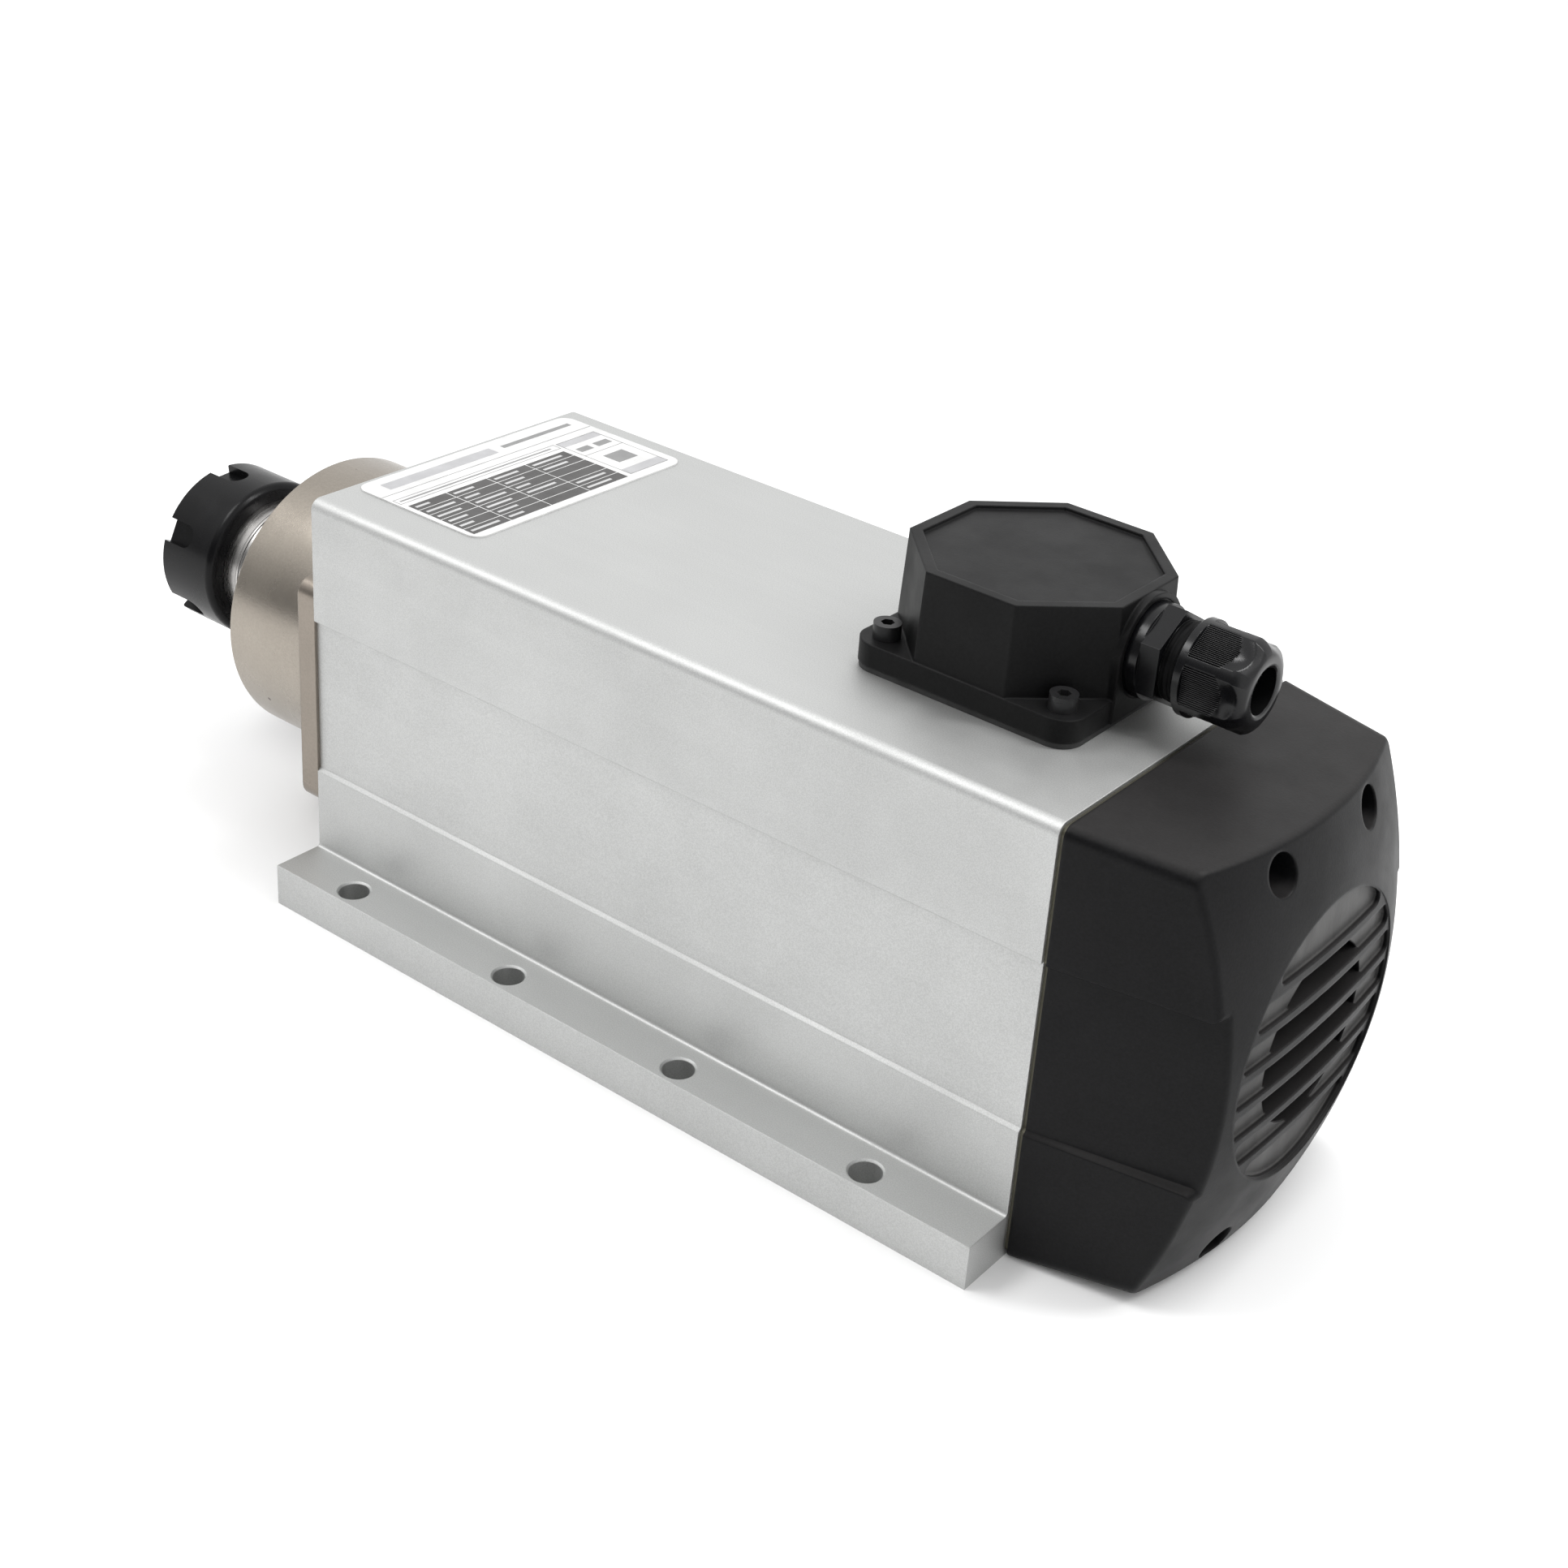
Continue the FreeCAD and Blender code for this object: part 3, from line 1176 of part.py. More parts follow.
housing()
nameplate()
front_bearing_housing()
front_flange_screws()
front_bearing_cover()
front_cover_screws()
labyrinth_ring()
bearings()
bearing_spacers()
bearing_locknut()
spindle_shaft()
collet()
collet_nut()
rotor_core()
rotor_cage()
stator_core()
stator_windings()
rear_end_shield()
rear_shield_screws()
wave_spring()
fan_cover()
fan_cover_screws()
fan()
fan_washer()
fan_screw()
terminal_box()
terminal_box_gasket()
terminal_box_screws()
terminal_block()
terminal_studs()
motor_leads()
gland_body()
gland_seal()
gland_claw()
gland_nut()
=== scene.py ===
import json
import math

import bmesh
import bpy
from mathutils import Matrix, Vector


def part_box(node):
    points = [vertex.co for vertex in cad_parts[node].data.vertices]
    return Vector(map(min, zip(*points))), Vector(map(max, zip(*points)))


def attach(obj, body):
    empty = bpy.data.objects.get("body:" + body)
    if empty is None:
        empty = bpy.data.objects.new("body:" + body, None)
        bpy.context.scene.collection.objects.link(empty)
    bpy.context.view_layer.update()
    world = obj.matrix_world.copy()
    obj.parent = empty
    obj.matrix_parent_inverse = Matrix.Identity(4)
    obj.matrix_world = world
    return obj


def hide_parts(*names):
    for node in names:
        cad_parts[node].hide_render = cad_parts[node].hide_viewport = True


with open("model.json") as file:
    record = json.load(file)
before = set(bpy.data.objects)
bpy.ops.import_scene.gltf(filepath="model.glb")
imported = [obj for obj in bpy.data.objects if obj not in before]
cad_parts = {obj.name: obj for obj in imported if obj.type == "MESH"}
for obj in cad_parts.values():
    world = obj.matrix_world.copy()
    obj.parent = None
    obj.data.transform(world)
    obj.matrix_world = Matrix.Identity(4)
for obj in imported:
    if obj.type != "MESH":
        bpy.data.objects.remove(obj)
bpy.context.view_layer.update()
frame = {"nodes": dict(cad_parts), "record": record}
nodes = frame["nodes"]

MM = 0.001

# Light, in metres and watts; the room is darker behind the camera
WORLD = 1.09
ROOM_SHARE = 0.18  # share of the world's light that is left there
ROOM_ASIDE = (0.5, 0.75)  # where it sets in, as Y of the direction looked in
ROOM_HEIGHT = (0.50, 0.62)  # where it ends, as Z of that direction
LIT_POINT = (0.0, 0.0, 0.06)
KEY_PLACE = (0.60, 0.48, 1.15)
KEY_SIZE = (0.6, 0.45)
STRIP_PLACE = (-0.50, -0.25, 1.05)
STRIP_SIZE = (0.15, 0.9)
LAMP_POWER = 6.0
FLOOR_HALF = 6.0

# Camera, in metres and degrees; lens and sensor in millimetres
CAMERA_PLACE = Vector((-0.34674, 0.44626, 0.37973))
CAMERA_TARGET = Vector((-0.02385, -0.03412, 0.09000))
CAMERA_ROLL = -5.662
CAMERA_LENS = 55.0
CAMERA_SENSOR = 36.0
CAMERA_SHIFT = (-0.0788, -0.0722)

# Shaft, in metres; an axis along X is given by its Y and Z
SHAFT_AXIS = (0.0, 0.06)
NOSE_R = 0.020

# Front bearing housing: the plate is darker than the turned boss
BOSS_START = 0.1216
BOSS_FADE = 0.0003
PLATE_TONE = (0.78, 0.76, 0.75)

# Grille in the fan cover, in metres: its floor lies behind RECESS_X, at the axis
GRILLE_Z = SHAFT_AXIS[1] + 0.0015
GRILLE_R = 0.0372
GRILLE_FADE = 0.0004
OPENING_R = 0.0231
OPENING_FADE = 0.0002
CROWN_R = 0.4
COVER_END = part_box("fan_cover")[0][0]
RECESS_X = COVER_END + 0.0009
RECESS_FADE = 0.0003

# Cable gland, in metres
GLAND_LOW, GLAND_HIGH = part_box("gland_nut")
GLAND_AXIS = (0.5 * (GLAND_LOW[1] + GLAND_HIGH[1]), 0.5 * (GLAND_LOW[2] + GLAND_HIGH[2]))
GLAND_END = GLAND_LOW[0]
GLAND_COLLAR = GLAND_HIGH[0]
GLAND_COLLAR_R = 0.0122
GLAND_FLAT = 0.0112  # from the axis to each flat of the grip
GLAND_MOUTH_R = 0.0059


def add_object(name, data):
    obj = bpy.data.objects.new(name, data)
    bpy.context.scene.collection.objects.link(obj)
    return obj


def add_mesh(name, verts, faces, smooth=True):
    """New mesh object from plain lists."""
    mesh = bpy.data.meshes.new(name)
    mesh.from_pydata([tuple(v) for v in verts], [], faces)
    mesh.validate()
    if smooth:
        mesh.polygons.foreach_set("use_smooth", [True] * len(mesh.polygons))
    mesh.update()
    return add_object(name, mesh)


# Materials

MATERIALS = {}
NOISE_LOW, NOISE_HIGH = 0.35, 0.65  # noise seldom leaves this range
BEVEL_SAMPLES = 6


class Shade:
    """A node material, with short calls for the nodes used here. Scales count per metre."""

    def __init__(self, name, rough, metal=0.0, specular=0.5):
        self.mat = bpy.data.materials.new(name)
        self.mat.use_nodes = True
        self.tree = self.mat.node_tree
        self.bsdf = self.tree.nodes["Principled BSDF"]
        self.bsdf.inputs["Roughness"].default_value = rough
        self.bsdf.inputs["Metallic"].default_value = metal
        self.bsdf.inputs["Specular IOR Level"].default_value = specular
        self.place = self.node("ShaderNodeTexCoord").outputs["Object"]
        self.normal = None
        MATERIALS[name] = self.mat

    def node(self, kind, **values):
        """New node; each value goes to the socket of that name, or else to the property."""
        made = self.tree.nodes.new(kind)
        for key, value in values.items():
            if key in made.inputs:
                made.inputs[key].default_value = value
            else:
                setattr(made, key, value)
        return made

    def put(self, value, socket):
        """Links another node's output into a socket, or sets it to a number or a colour."""
        if isinstance(value, float):
            socket.default_value = value
        elif isinstance(value, tuple):
            socket.default_value = (*value, 1.0)
        else:
            self.tree.links.new(value, socket)

    def axes(self, vector):
        """X, Y and Z of a vector."""
        node = self.node("ShaderNodeSeparateXYZ")
        self.put(vector, node.inputs["Vector"])
        return [node.outputs[axis] for axis in "XYZ"]

    def calc(self, operation, a, b):
        node = self.node("ShaderNodeMath", operation=operation)
        self.put(a, node.inputs[0])
        self.put(b, node.inputs[1])
        return node.outputs["Value"]

    def product(self, a, b):
        return self.calc("MULTIPLY", a, b)

    def noise(self, scale, detail=3.0, roughness=0.55, stretch=(1.0, 1.0, 1.0)):
        mapping = self.node("ShaderNodeMapping", Scale=stretch)
        self.put(self.place, mapping.inputs["Vector"])
        tex = self.node("ShaderNodeTexNoise", Scale=scale, Detail=detail, Roughness=roughness)
        self.put(mapping.outputs["Vector"], tex.inputs["Vector"])
        return tex.outputs["Fac"]

    def specks(self, scale, size):
        """1 nearly everywhere, 0 in small round specks."""
        tex = self.node("ShaderNodeTexVoronoi", Scale=scale)
        self.put(self.place, tex.inputs["Vector"])
        return self.spread(tex.outputs["Distance"], 0.0, 1.0, size, size * 1.6)

    def spread(self, fac, low, high, start=NOISE_LOW, end=NOISE_HIGH):
        """Stretches a value from start..end to low..high."""
        limits = {"From Min": start, "From Max": end, "To Min": low, "To Max": high}
        node = self.node("ShaderNodeMapRange", **limits)
        self.put(fac, node.inputs["Value"])
        return node.outputs["Result"]

    def ramp(self, fac, dark, light):
        """Colour between two tones."""
        node = self.node("ShaderNodeValToRGB")
        for element, place, tone in zip(node.color_ramp.elements, (NOISE_LOW, NOISE_HIGH), (dark, light)):
            element.position = place
            element.color = (*tone, 1.0)
        self.put(fac, node.inputs["Fac"])
        return node.outputs["Color"]

    def mix(self, fac, a, b, blend="MIX"):
        """Mix of two colours: the node's inputs 6 and 7, and its output 2."""
        node = self.node("ShaderNodeMix", data_type="RGBA", blend_type=blend)
        for value, place in ((fac, 0), (a, 6), (b, 7)):
            self.put(value, node.inputs[place])
        return node.outputs[2]

    def top_dust_and_light_mask(self):
        """1 on surfaces that face up, patchy; 0 on walls: where a dusty film lies and where the light
        from above is painted in.
        """
        _, _, up = self.axes(self.node("ShaderNodeNewGeometry").outputs["Normal"])
        level = self.spread(up, 0.0, 1.0, 0.55, 0.95)
        patches = self.spread(self.noise(35.0, 6.0, 0.65), 0.7, 1.0)
        return self.product(level, patches)

    def recess(self):
        """1 on the floor of the grille's recess, 0 elsewhere."""
        x, y, z = self.axes(self.place)
        aside = self.node("ShaderNodeCombineXYZ")
        self.put(y, aside.inputs["Y"])
        self.put(self.calc("SUBTRACT", z, GRILLE_Z), aside.inputs["Z"])
        length = self.node("ShaderNodeVectorMath", operation="LENGTH")
        self.put(aside.outputs["Vector"], length.inputs[0])
        reach = length.outputs["Value"]
        inside = self.spread(reach, 1.0, 0.0, GRILLE_R, GRILLE_R + GRILLE_FADE)
        past_opening = self.spread(reach, 0.0, 1.0, OPENING_R, OPENING_R + OPENING_FADE)
        # The floor is crowned as the slats are, and lies 1.6 mm behind them
        crown = self.calc("DIVIDE", self.product(reach, reach), 2 * CROWN_R)
        behind = self.calc("SUBTRACT", x, crown)
        deep = self.spread(behind, 0.0, 1.0, RECESS_X, RECESS_X + RECESS_FADE)
        return self.product(self.product(inside, past_opening), deep)

    def colour(self, out):
        self.put(out, self.bsdf.inputs["Base Color"])

    def rough(self, out):
        self.put(out, self.bsdf.inputs["Roughness"])

    def soft_edges(self, radius):
        """Rounds the light on sharp edges."""
        bevel = self.node("ShaderNodeBevel", samples=BEVEL_SAMPLES, Radius=radius)
        self.normal = bevel.outputs["Normal"]
        self.put(self.normal, self.bsdf.inputs["Normal"])

    def bump(self, fac, distance, strength=1.0):
        node = self.node("ShaderNodeBump", Distance=distance, Strength=strength)
        self.put(fac, node.inputs["Height"])
        if self.normal is not None:
            self.put(self.normal, node.inputs["Normal"])
        self.normal = node.outputs["Normal"]
        self.put(self.normal, self.bsdf.inputs["Normal"])


class Sky(Shade):
    """The same calls for the world's nodes; place is the direction looked in."""

    def __init__(self, tree):
        self.tree = tree
        self.place = self.node("ShaderNodeTexCoord").outputs["Generated"]

    def mix_value(self, fac, a, b):
        """Mix of two numbers: the node's inputs 2 and 3, and its output 0."""
        node = self.node("ShaderNodeMix", data_type="FLOAT")
        for value, place in ((fac, 0), (a, 2), (b, 3)):
            self.put(value, node.inputs[place])
        return node.outputs[0]


def scaled(tone, k):
    return tuple(k * c for c in tone)


def anodised(name, tone, rough):
    """Bead-blasted, clear anodised extrusion: fine sparkle, faint draw lines along X."""
    s = Shade(name, rough, metal=1.0)
    cloud = s.ramp(s.noise(11.0, 5.0), scaled(tone, 0.96), scaled(tone, 1.03))
    drawn = s.noise(300.0, stretch=(0.015, 1.0, 1.0))
    lines = s.ramp(drawn, scaled(tone, 0.94), scaled(tone, 1.04))
    sparkle = s.ramp(s.noise(3200.0, 1.0), scaled(tone, 0.80), scaled(tone, 1.16))
    s.colour(s.mix(0.4, s.mix(0.25, cloud, lines), sparkle))
    s.rough(s.spread(s.noise(30.0, 4.0), rough * 0.93, rough * 1.08))
    s.soft_edges(0.0004)
    s.bump(s.noise(2400.0, 2.0), 0.00003, 0.5)


def plated(name, tone, rough):
    """Warm grey plating with soft stains and a few dirt specks."""
    s = Shade(name, rough, metal=1.0)
    cloud = s.ramp(s.noise(26.0, 6.0, 0.6), scaled(tone, 0.9), scaled(tone, 1.06))
    grain = s.ramp(s.noise(1500.0, 2.0), scaled(tone, 0.85), scaled(tone, 1.12))
    boss = s.mix(0.3, cloud, grain)
    plate = s.mix(1.0, boss, PLATE_TONE, "MULTIPLY")
    along = s.axes(s.place)[0]
    past_plate = s.spread(along, 0.0, 1.0, BOSS_START, BOSS_START + BOSS_FADE)
    dirt = (0.06, 0.04, 0.035)
    s.colour(s.mix(s.specks(60.0, 0.028), dirt, s.mix(past_plate, plate, boss)))
    s.rough(s.spread(s.noise(45.0, 4.0), rough * 0.85, rough * 1.15))
    s.soft_edges(0.0005)
    s.bump(s.noise(1900.0, 2.0), 0.00003, 0.5)


def turned_steel(name, tone, rough):
    """Steel with fine turning marks round the shaft."""
    s = Shade(name, rough, metal=1.0)
    s.colour(s.ramp(s.noise(80.0, 4.0), scaled(tone, 0.85), tone))
    marks = s.noise(420.0, 2.0, stretch=(6.0, 0.4, 0.4))
    s.rough(s.spread(marks, rough * 0.8, rough * 1.25))
    s.soft_edges(0.0002)
    s.bump(marks, 0.00001, 0.4)


def blackened(name, tone, rough, metal, specular=0.5):
    """Blackened steel, mottled in tone and gloss."""
    s = Shade(name, rough, metal, specular)
    s.colour(s.ramp(s.noise(70.0, 5.0), scaled(tone, 0.75), scaled(tone, 1.35)))
    s.rough(s.spread(s.noise(140.0, 4.0), rough * 0.9, rough * 1.15))
    s.bump(s.noise(2600.0, 2.0), 0.000006, 0.4)


def moulded(name, tone, rough, specular, edge, grain, dust_and_top_light=None, scuff=None):
    """Moulded plastic: mottled tone, pale flecks, fine grain, soft edges.

    What faces up is lightened, partly as a dusty film and partly as painted light from above, and scuff
    is the worn tone of the grille's floor.
    """
    s = Shade(name, rough, specular=specular)
    mottle = s.ramp(s.noise(24.0, 6.0, 0.65), scaled(tone, 0.75), scaled(tone, 1.5))
    fleck = s.ramp(s.noise(1300.0, 2.0), scaled(tone, 0.5), scaled(tone, 2.2))
    finish = s.mix(0.3, mottle, fleck)
    if scuff is not None:
        wear = s.noise(90.0, 6.0, 0.7, stretch=(1.0, 1.0, 0.35))
        finish = s.mix(s.recess(), finish, s.ramp(wear, scaled(scuff, 0.6), scuff))
    # Painted top light: up-facing surfaces are lightened, partly as a dusty film and partly as light from
    # above
    if dust_and_top_light is not None:
        finish = s.mix(s.top_dust_and_light_mask(), finish, s.mix(1.0, finish, dust_and_top_light, "ADD"))
    s.colour(finish)
    s.rough(s.spread(s.noise(60.0, 5.0), rough * 0.88, rough * 1.12))
    s.soft_edges(edge)
    s.bump(s.noise(1600.0, 4.0), grain, 0.6)


def plain(name, tone, rough, metal=0.0):
    """Slight cloud in tone and gloss, for small and inner pieces."""
    s = Shade(name, rough, metal)
    s.colour(s.ramp(s.noise(120.0), scaled(tone, 0.85), tone))
    s.rough(s.spread(s.noise(200.0, 2.0), rough * 0.85, rough * 1.15))
    s.bump(s.noise(1500.0, 2.0), 0.00002, 0.4)


def make_materials():
    """One material for each slot, and three for pieces with a finish of their own."""
    anodised("bare_aluminium", (0.558, 0.563, 0.557), 0.58)
    plated("nickel_plate", (0.33, 0.298, 0.258), 0.28)
    turned_steel("steel", (0.54, 0.525, 0.51), 0.26)
    turned_steel("bearing_steel", (0.66, 0.66, 0.67), 0.12)
    blackened("black_steel", (0.028, 0.028, 0.029), 0.3, metal=0.5)
    blackened("black_nut", (0.0032, 0.0032, 0.0037), 0.26, metal=0.0, specular=0.17)
    plain("core_iron", (0.16, 0.16, 0.18), 0.45, metal=1.0)
    plain("winding", (0.45, 0.17, 0.06), 0.3, metal=0.4)
    plain("shield_metal", (0.10, 0.095, 0.07), 0.5, metal=0.6)
    plain("brass", (0.72, 0.52, 0.22), 0.3, metal=1.0)
    plain("label", (0.68, 0.68, 0.675), 0.3)
    plain("cage_plastic", (0.42, 0.28, 0.12), 0.45)
    plain("block_plastic", (0.35, 0.07, 0.04), 0.4)
    plain("lead_sheath", (0.45, 0.05, 0.04), 0.45)
    plain("rubber", (0.012, 0.012, 0.012), 0.6)
    moulded("black_plastic", (0.0034, 0.0034, 0.0037), 0.42, 0.13, edge=0.001, grain=0.00004)
    moulded("black_nylon", (0.0028, 0.0029, 0.0035), 0.2, 0.35, edge=0.0002, grain=0.000004)
    # The cover's and the box's tops are lightened, partly as a dusty film and partly as painted top light
    moulded("cover_plastic", (0.0034, 0.0034, 0.0038), 0.42, 0.13, edge=0.001, grain=0.00004,
            dust_and_top_light=(0.018, 0.017, 0.0165), scuff=(0.075, 0.074, 0.073))
    moulded("box_plastic", (0.0034, 0.0034, 0.0036), 0.44, 0.14, edge=0.0008, grain=0.00003,
            dust_and_top_light=(0.006, 0.006, 0.006))
    # Darker, duller copy of the black nylon: painted shade on the gland's thread in its gap and inside
    # the nut's bore
    moulded("painted_shade_black", (0.002, 0.002, 0.0022), 0.55, 0.1, edge=0.0001, grain=0.00001)


OWN_FINISH = {"terminal_box": "box_plastic", "fan_cover": "cover_plastic"}


def dress_nodes():
    """Gives each carried-over node its material."""
    slots = {entry["node"]: entry["material_slot"] for entry in frame["record"]["subparts"]}
    for name, obj in nodes.items():
        obj.data.materials.clear()
        obj.data.materials.append(MATERIALS[OWN_FINISH.get(name, slots[name])])


# Threads, in metres: root and crest are radii
THREAD_PITCH = 0.0015
ROWS_PER_PITCH = 10
RUN_OUT_ROWS = 20  # rows over which the ridge grows at either end
RIDGE_SLOPE = 2.2  # a ridge of slope 2 would be sharp, this one has a narrow flat
NOSE_THREAD_X = (0.1640, 0.1872)
NOSE_THREAD_ROOT = NOSE_R + 0.00002
NOSE_THREAD_CREST = NOSE_R + 0.00042
NOSE_THREAD_STEPS = 180
GLAND_THREAD_START = GLAND_COLLAR + 0.0001
GLAND_THREAD_LENGTH = 0.0042
GLAND_THREAD_ROOT = 0.01
GLAND_THREAD_CREST = 0.0105
GLAND_THREAD_STEPS = 120


def around_x(name, rings, axis, steps):
    """Closed strip of rings about an axis along X; each ring is a call from angle to (x, radius)."""
    y, z = axis
    verts = []
    for ring in rings:
        for i in range(steps):
            turn = 2 * math.pi * i / steps
            x, radius = ring(turn)
            verts.append((x, y + radius * math.sin(turn), z + radius * math.cos(turn)))
    faces = []
    for k in range(len(rings) - 1):
        for i in range(steps):
            j = (i + 1) % steps
            faces.append((k * steps + i, k * steps + j, (k + 1) * steps + j, (k + 1) * steps + i))
    return add_mesh(name, verts, faces)


def thread_ring(x, root, crest, fade):
    """Ring of a thread: its ridge stands at the turn where the climb reaches x."""
    def ring(turn):
        phase = (x / THREAD_PITCH - turn / (2 * math.pi)) % 1.0
        ridge = min(1.0, RIDGE_SLOPE * min(phase, 1.0 - phase))
        return x, root + (crest - root) * ridge * fade
    return ring


def thread(name, start, end, root, crest, axis, steps):
    """Threaded sleeve: the ridge climbs one pitch in a turn, and runs out at both ends."""
    rows = int((end - start) / THREAD_PITCH * ROWS_PER_PITCH)
    rings = []
    for k in range(rows + 1):
        fade = min(1.0, k / RUN_OUT_ROWS, (rows - k) / RUN_OUT_ROWS)
        rings.append(thread_ring(start + (end - start) * k / rows, root, crest, fade))
    return around_x(name, rings, axis, steps)


def nose_thread():
    start, end = NOSE_THREAD_X
    piece = thread("nose_thread", start, end, NOSE_THREAD_ROOT, NOSE_THREAD_CREST, SHAFT_AXIS,
                   NOSE_THREAD_STEPS)
    piece.data.materials.append(MATERIALS["steel"])
    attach(piece, "rotor")


def gland_thread():
    start = GLAND_THREAD_START
    end = start + GLAND_THREAD_LENGTH
    piece = thread("gland_thread", start, end, GLAND_THREAD_ROOT, GLAND_THREAD_CREST, GLAND_AXIS,
                   GLAND_THREAD_STEPS)
    # The darker, duller copy of the nylon is painted shade in the gap between the gland's hex and the
    # nut's collar
    piece.data.materials.append(MATERIALS["painted_shade_black"])
    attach(piece, "root")


# Gland nut: distances along it from the collar's face, in metres
NUT_BACK_R = 0.0101
NUT_COLLAR = 0.0023
NUT_COLLAR_CHAMFER = 0.0003
NUT_COLLAR_RINGS = (NUT_COLLAR_CHAMFER, 0.0012, NUT_COLLAR - 0.0002)
NUT_DOME_START = 0.0095
NUT_DOME_R = 0.0130
NUT_DOME_LEAN = math.radians(82)
NUT_DOME_POWER = 0.8  # under 1 is fuller than a round dome
NUT_MOUTH_EDGE_R = 0.0071
NUT_MOUTH_CHAMFER = 0.0004
NUT_MOUTH_DEPTH = 0.0069
LIP_SINK = 0.00002  # each ring of the lip lies this much deeper than the one outside it
PANEL_START = 0.0024
PANEL_END = 0.0124
PANEL_BOW = 75.0  # draws the panel's end back beside its middle, per metre
PANEL_TURN = math.radians(25.2)
PANEL_DEPTH = 0.0007
RIB_TURN = math.radians(2.5)
RIB_SHIFT = 0.05
RIB_LOSS = 0.1  # share of the panel's depth at the top of a rib
SCALLOP_TURN = math.radians(22)
SCALLOP_DEPTH = 0.0009
SCALLOP_STRETCH = 1.3  # the scallop starts a little way up the dome and ends before the mouth
SCALLOP_DELAY = 0.25
NUT_STEPS = 720
GRIP_RINGS = 44
DOME_RINGS = 30
LIP_RINGS = 8
SHARP_EDGE = math.radians(32)


def facet_angle(turn):
    """Angle from the middle of the nearest of the six flats; one flat faces +Y."""
    third = math.pi / 3
    return turn % third - third / 2


def grip_radius(along, turn):
    """Six flats with rounded corners, and sunk ribbed panels."""
    angle = facet_angle(turn)
    side = GLAND_FLAT * math.tan(angle)
    flat = GLAND_FLAT / math.cos(angle)
    radius = min(flat, GLAND_COLLAR_R)
    panel_end = PANEL_END - PANEL_BOW * side * side
    if PANEL_START < along < panel_end and abs(angle) < PANEL_TURN:
        on_rib = (angle / RIB_TURN + RIB_SHIFT) % 1.0 < 0.5
        radius -= PANEL_DEPTH * (RIB_LOSS if on_rib else 1.0)
    return radius


def circle(x, radius):
    return lambda turn: (x, radius)


def grip_ring(along):
    return lambda turn: (GLAND_COLLAR - along, grip_radius(along, turn))


def dome_ring(share):
    """Ring on the dome: share runs from 0 at the grip to 1 at the mouth's rounded edge."""
    lean = share * NUT_DOME_LEAN
    length = GLAND_COLLAR - GLAND_END
    along = NUT_DOME_START + (length - NUT_DOME_START) * math.sin(lean)
    radius = NUT_MOUTH_EDGE_R + (NUT_DOME_R - NUT_MOUTH_EDGE_R) * math.cos(lean) ** NUT_DOME_POWER
    climb = min(1.0, max(0.0, share * SCALLOP_STRETCH - SCALLOP_DELAY))

    def ring(turn):
        angle = abs(facet_angle(turn)) / SCALLOP_TURN
        scallop = max(0.0, 1.0 - angle * angle) * math.sin(math.pi * climb)
        return GLAND_COLLAR - along, min(radius, grip_radius(along, turn)) - SCALLOP_DEPTH * scallop
    return ring


def lip_ring(k):
    """One of the rings that narrow from the dome's edge to the mouth's chamfer."""
    inner = GLAND_MOUTH_R + NUT_MOUTH_CHAMFER
    lip = NUT_MOUTH_EDGE_R - GLAND_MOUTH_R - NUT_MOUTH_CHAMFER
    return circle(GLAND_END + LIP_SINK * k, inner + lip * (1 - k / (LIP_RINGS + 1)))


def gland_nut():
    """Domed cap nut with a collar, ribbed grip panels, six scallops and a rounded mouth."""
    grip = NUT_DOME_START - NUT_COLLAR
    rings = [circle(GLAND_COLLAR, NUT_BACK_R), circle(GLAND_COLLAR, GLAND_COLLAR_R - NUT_COLLAR_CHAMFER)]
    rings += [circle(GLAND_COLLAR - along, GLAND_COLLAR_R) for along in NUT_COLLAR_RINGS]
    rings += [grip_ring(NUT_COLLAR + grip * k / GRIP_RINGS) for k in range(GRIP_RINGS + 1)]
    rings += [dome_ring(k / DOME_RINGS) for k in range(1, DOME_RINGS + 1)]
    rings += [lip_ring(k) for k in range(1, LIP_RINGS + 1)]
    rings += [circle(GLAND_END + depth, GLAND_MOUTH_R) for depth in (NUT_MOUTH_CHAMFER, NUT_MOUTH_DEPTH)]
    piece = around_x("gland_cap", rings, GLAND_AXIS, NUT_STEPS)
    piece.data.set_sharp_from_angle(angle=SHARP_EDGE)
    piece.data.materials.append(MATERIALS["black_nylon"])
    piece.data.materials.append(MATERIALS["painted_shade_black"])
    # The last band of faces is the bore behind the mouth; it gets the darker, duller copy of the nylon,
    # as painted shade inside the bore
    for face in list(piece.data.polygons)[-NUT_STEPS:]:
        face.material_index = 1
    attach(piece, "gland_nut")
    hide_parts("gland_nut")


# Nameplate: blank ruled cells, in millimetres in the part's frame, with no lettering
PLATE_TOP = 120.4
PRINT_SINK = 0.01  # how far the print reaches into the plate, and how far above it
PRINT_RISE = 0.02
LAYER_RISE = 0.015
DARK, RULE, PALE, GREY = range(4)
PRINT_TONES = (("print_dark", (0.045, 0.043, 0.042)), ("print_rule", (0.22, 0.22, 0.22)),
               ("print_pale", (0.5, 0.5, 0.5)), ("print_grey", (0.42, 0.42, 0.43)))
TABLE_X = (69.4, 94.5)
TABLE_ROWS = 6
TABLE_COLUMNS = (36.2, 22.3, 7.0, -8.0, -23.6)
CELL_GAP = 0.3
EMPTY_CELLS = ((2, 3), (3, 3), (4, 2), (5, 2))
DASH_HIGH = 1.0
DASH_INDENT = 1.0
DASH_SHARE = 0.36  # of the cell for the shortest dash, and what each longer one adds
DASH_STEP = 0.13
RULE_WIDTH = 0.25
STRIP = ((96.3, 99.6), (36.8, -24.6))
SIDE_BOX = ((70.2, 99.4), (-25.4, -41.2))
BLOCK_Y = (-25.7, -40.9)
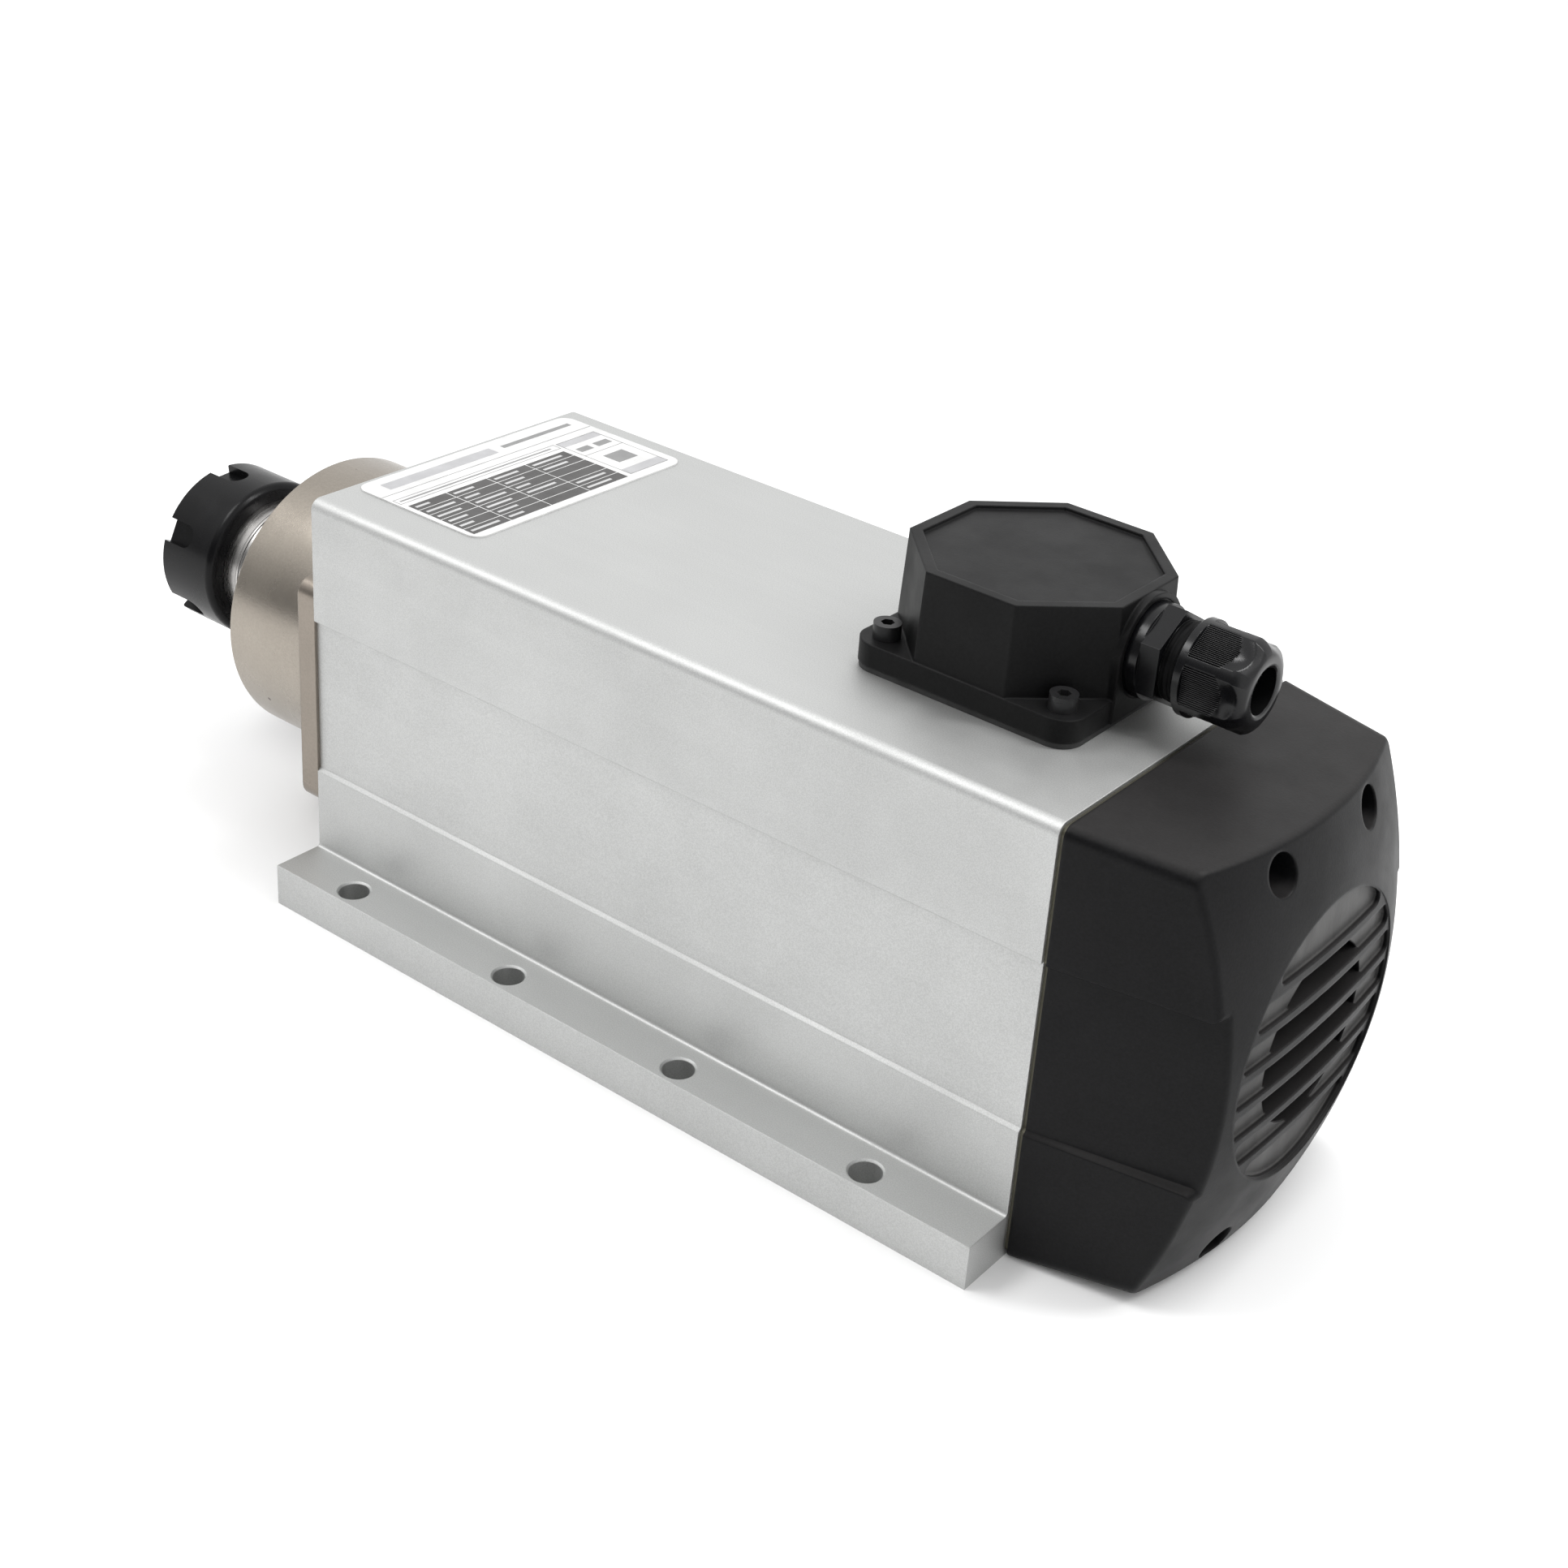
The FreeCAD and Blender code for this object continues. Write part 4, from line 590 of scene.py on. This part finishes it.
MARKS = (
    ((102.8, 102.8 + RULE_WIDTH), (37.4, -43.6), RULE),  # line under the head
    ((105.6, 109.8), (31.8, -9.0), GREY),  # head, left and right
    ((107.0, 108.8), (-12.6, -40.0), RULE),
    ((97.6, 98.3), (35.6, -22.0), RULE),  # line in the strip over the table
    ((87.7, 87.7 + RULE_WIDTH), SIDE_BOX[1], RULE),  # in the box beside the table
    ((96.0, 99.1), BLOCK_Y, GREY),
    ((70.5, 74.2), BLOCK_Y, GREY),
    ((78.2, 84.6), (-29.4, -37.2), RULE),
    ((90.4, 93.2), (-27.0, -32.0), RULE),
    ((90.4, 93.2), (-34.0, -39.6), RULE),
)


def slab(mesh, x, y, finish, layer=0):
    """Thin printed rectangle; a higher layer lies on a lower one."""
    low = (PLATE_TOP - PRINT_SINK) * MM
    high = (PLATE_TOP + PRINT_RISE + LAYER_RISE * layer) * MM
    corners = [(x[0], y[0]), (x[1], y[0]), (x[1], y[1]), (x[0], y[1])]
    below = [mesh.verts.new((u * MM, v * MM, low)) for u, v in corners]
    above = [mesh.verts.new((u * MM, v * MM, high)) for u, v in corners]
    mesh.faces.new(above).material_index = finish
    for i in range(4):
        j = (i + 1) % 4
        mesh.faces.new((below[i], below[j], above[j], above[i])).material_index = finish


def border(mesh, x, y):
    """Rectangle drawn as four thin rules."""
    x0, x1 = sorted(x)
    y0, y1 = sorted(y)
    inner = (y0 + RULE_WIDTH, y1 - RULE_WIDTH)
    slab(mesh, (x0, x1), (y0, y0 + RULE_WIDTH), RULE)
    slab(mesh, (x0, x1), (y1 - RULE_WIDTH, y1), RULE)
    slab(mesh, (x0, x0 + RULE_WIDTH), inner, RULE)
    slab(mesh, (x1 - RULE_WIDTH, x1), inner, RULE)


def print_table(mesh):
    """Dark cells; a plain dash stands where a real plate would have a word."""
    row = (TABLE_X[1] - TABLE_X[0]) / TABLE_ROWS
    half = CELL_GAP / 2
    for i in range(TABLE_ROWS):
        top = TABLE_X[1] - i * row
        middle = top - row / 2
        for j in range(len(TABLE_COLUMNS) - 1):
            left = TABLE_COLUMNS[j] - half
            right = TABLE_COLUMNS[j + 1] + half
            slab(mesh, (top - row + half, top - half), (right, left), DARK)
            if (i, j) in EMPTY_CELLS:
                continue
            # The dashes differ in length from cell to cell
            longer = (3 * i + 5 * j) % 4
            length = (DASH_SHARE + DASH_STEP * longer) * (left - right)
            across = (left - DASH_INDENT - length, left - DASH_INDENT)
            slab(mesh, (middle - DASH_HIGH / 2, middle + DASH_HIGH / 2), across, PALE, layer=1)


def nameplate_print():
    mesh = bmesh.new()
    print_table(mesh)
    border(mesh, *STRIP)
    border(mesh, *SIDE_BOX)
    for x, y, finish in MARKS:
        slab(mesh, x, y, finish)
    data = bpy.data.meshes.new("nameplate_print")
    mesh.to_mesh(data)
    mesh.free()
    piece = add_object("nameplate_print", data)
    for name, tone in PRINT_TONES:
        plain(name, tone, 0.35)
        data.materials.append(MATERIALS[name])
    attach(piece, "root")


# Stage


def pale_floor():
    h = FLOOR_HALF
    corners = [(-h, -h, 0), (h, -h, 0), (h, h, 0), (-h, h, 0)]
    floor = add_mesh("floor", corners, [(0, 1, 2, 3)], smooth=False)
    s = Shade("floor_white", 0.7, specular=0.1)
    s.colour(s.ramp(s.noise(0.8, 2.0), (0.94, 0.94, 0.94), (0.955, 0.955, 0.955)))
    floor.data.materials.append(s.mat)


def area_light(name, place, size):
    """Rectangular light, turned to the part."""
    data = bpy.data.lights.new(name, "AREA")
    data.shape = "RECTANGLE"
    data.size, data.size_y = size
    data.energy = LAMP_POWER
    light = add_object(name, data)
    light.location = place
    light.rotation_euler = (Vector(LIT_POINT) - Vector(place)).to_track_quat("-Z", "Y").to_euler()


def studio():
    world = bpy.data.worlds.new("studio")
    bpy.context.scene.world = world
    world.use_nodes = True
    background = world.node_tree.nodes["Background"]
    background.inputs["Color"].default_value = (1.0, 1.0, 1.0, 1.0)
    s = Sky(world.node_tree)
    _, aside, height = s.axes(s.place)
    dark = s.product(s.spread(aside, 0.0, 1.0, *ROOM_ASIDE), s.spread(height, 1.0, 0.0, *ROOM_HEIGHT))
    lit = s.spread(dark, WORLD, WORLD * ROOM_SHARE, 0.0, 1.0)
    # The backdrop itself is seen white all round
    seen = s.node("ShaderNodeLightPath").outputs["Is Camera Ray"]
    s.put(s.mix_value(seen, lit, 1.0), background.inputs["Strength"])
    area_light("key", KEY_PLACE, KEY_SIZE)
    area_light("strip", STRIP_PLACE, STRIP_SIZE)


def camera():
    data = bpy.data.cameras.new("camera")
    cam = add_object("camera", data)
    ahead = (CAMERA_TARGET - CAMERA_PLACE).normalized()
    level = ahead.cross(Vector((0, 0, 1))).normalized()
    right = Matrix.Rotation(math.radians(CAMERA_ROLL), 3, ahead) @ level
    up = right.cross(ahead)
    basis = Matrix((right, up, -ahead)).transposed()
    cam.matrix_world = Matrix.Translation(CAMERA_PLACE) @ basis.to_4x4()
    data.sensor_width = CAMERA_SENSOR
    data.lens = CAMERA_LENS
    data.shift_x, data.shift_y = CAMERA_SHIFT
    bpy.context.scene.camera = cam


make_materials()
dress_nodes()
nose_thread()
gland_thread()
gland_nut()
nameplate_print()
pale_floor()
studio()
camera()
bpy.context.scene.view_settings.view_transform = "Standard"
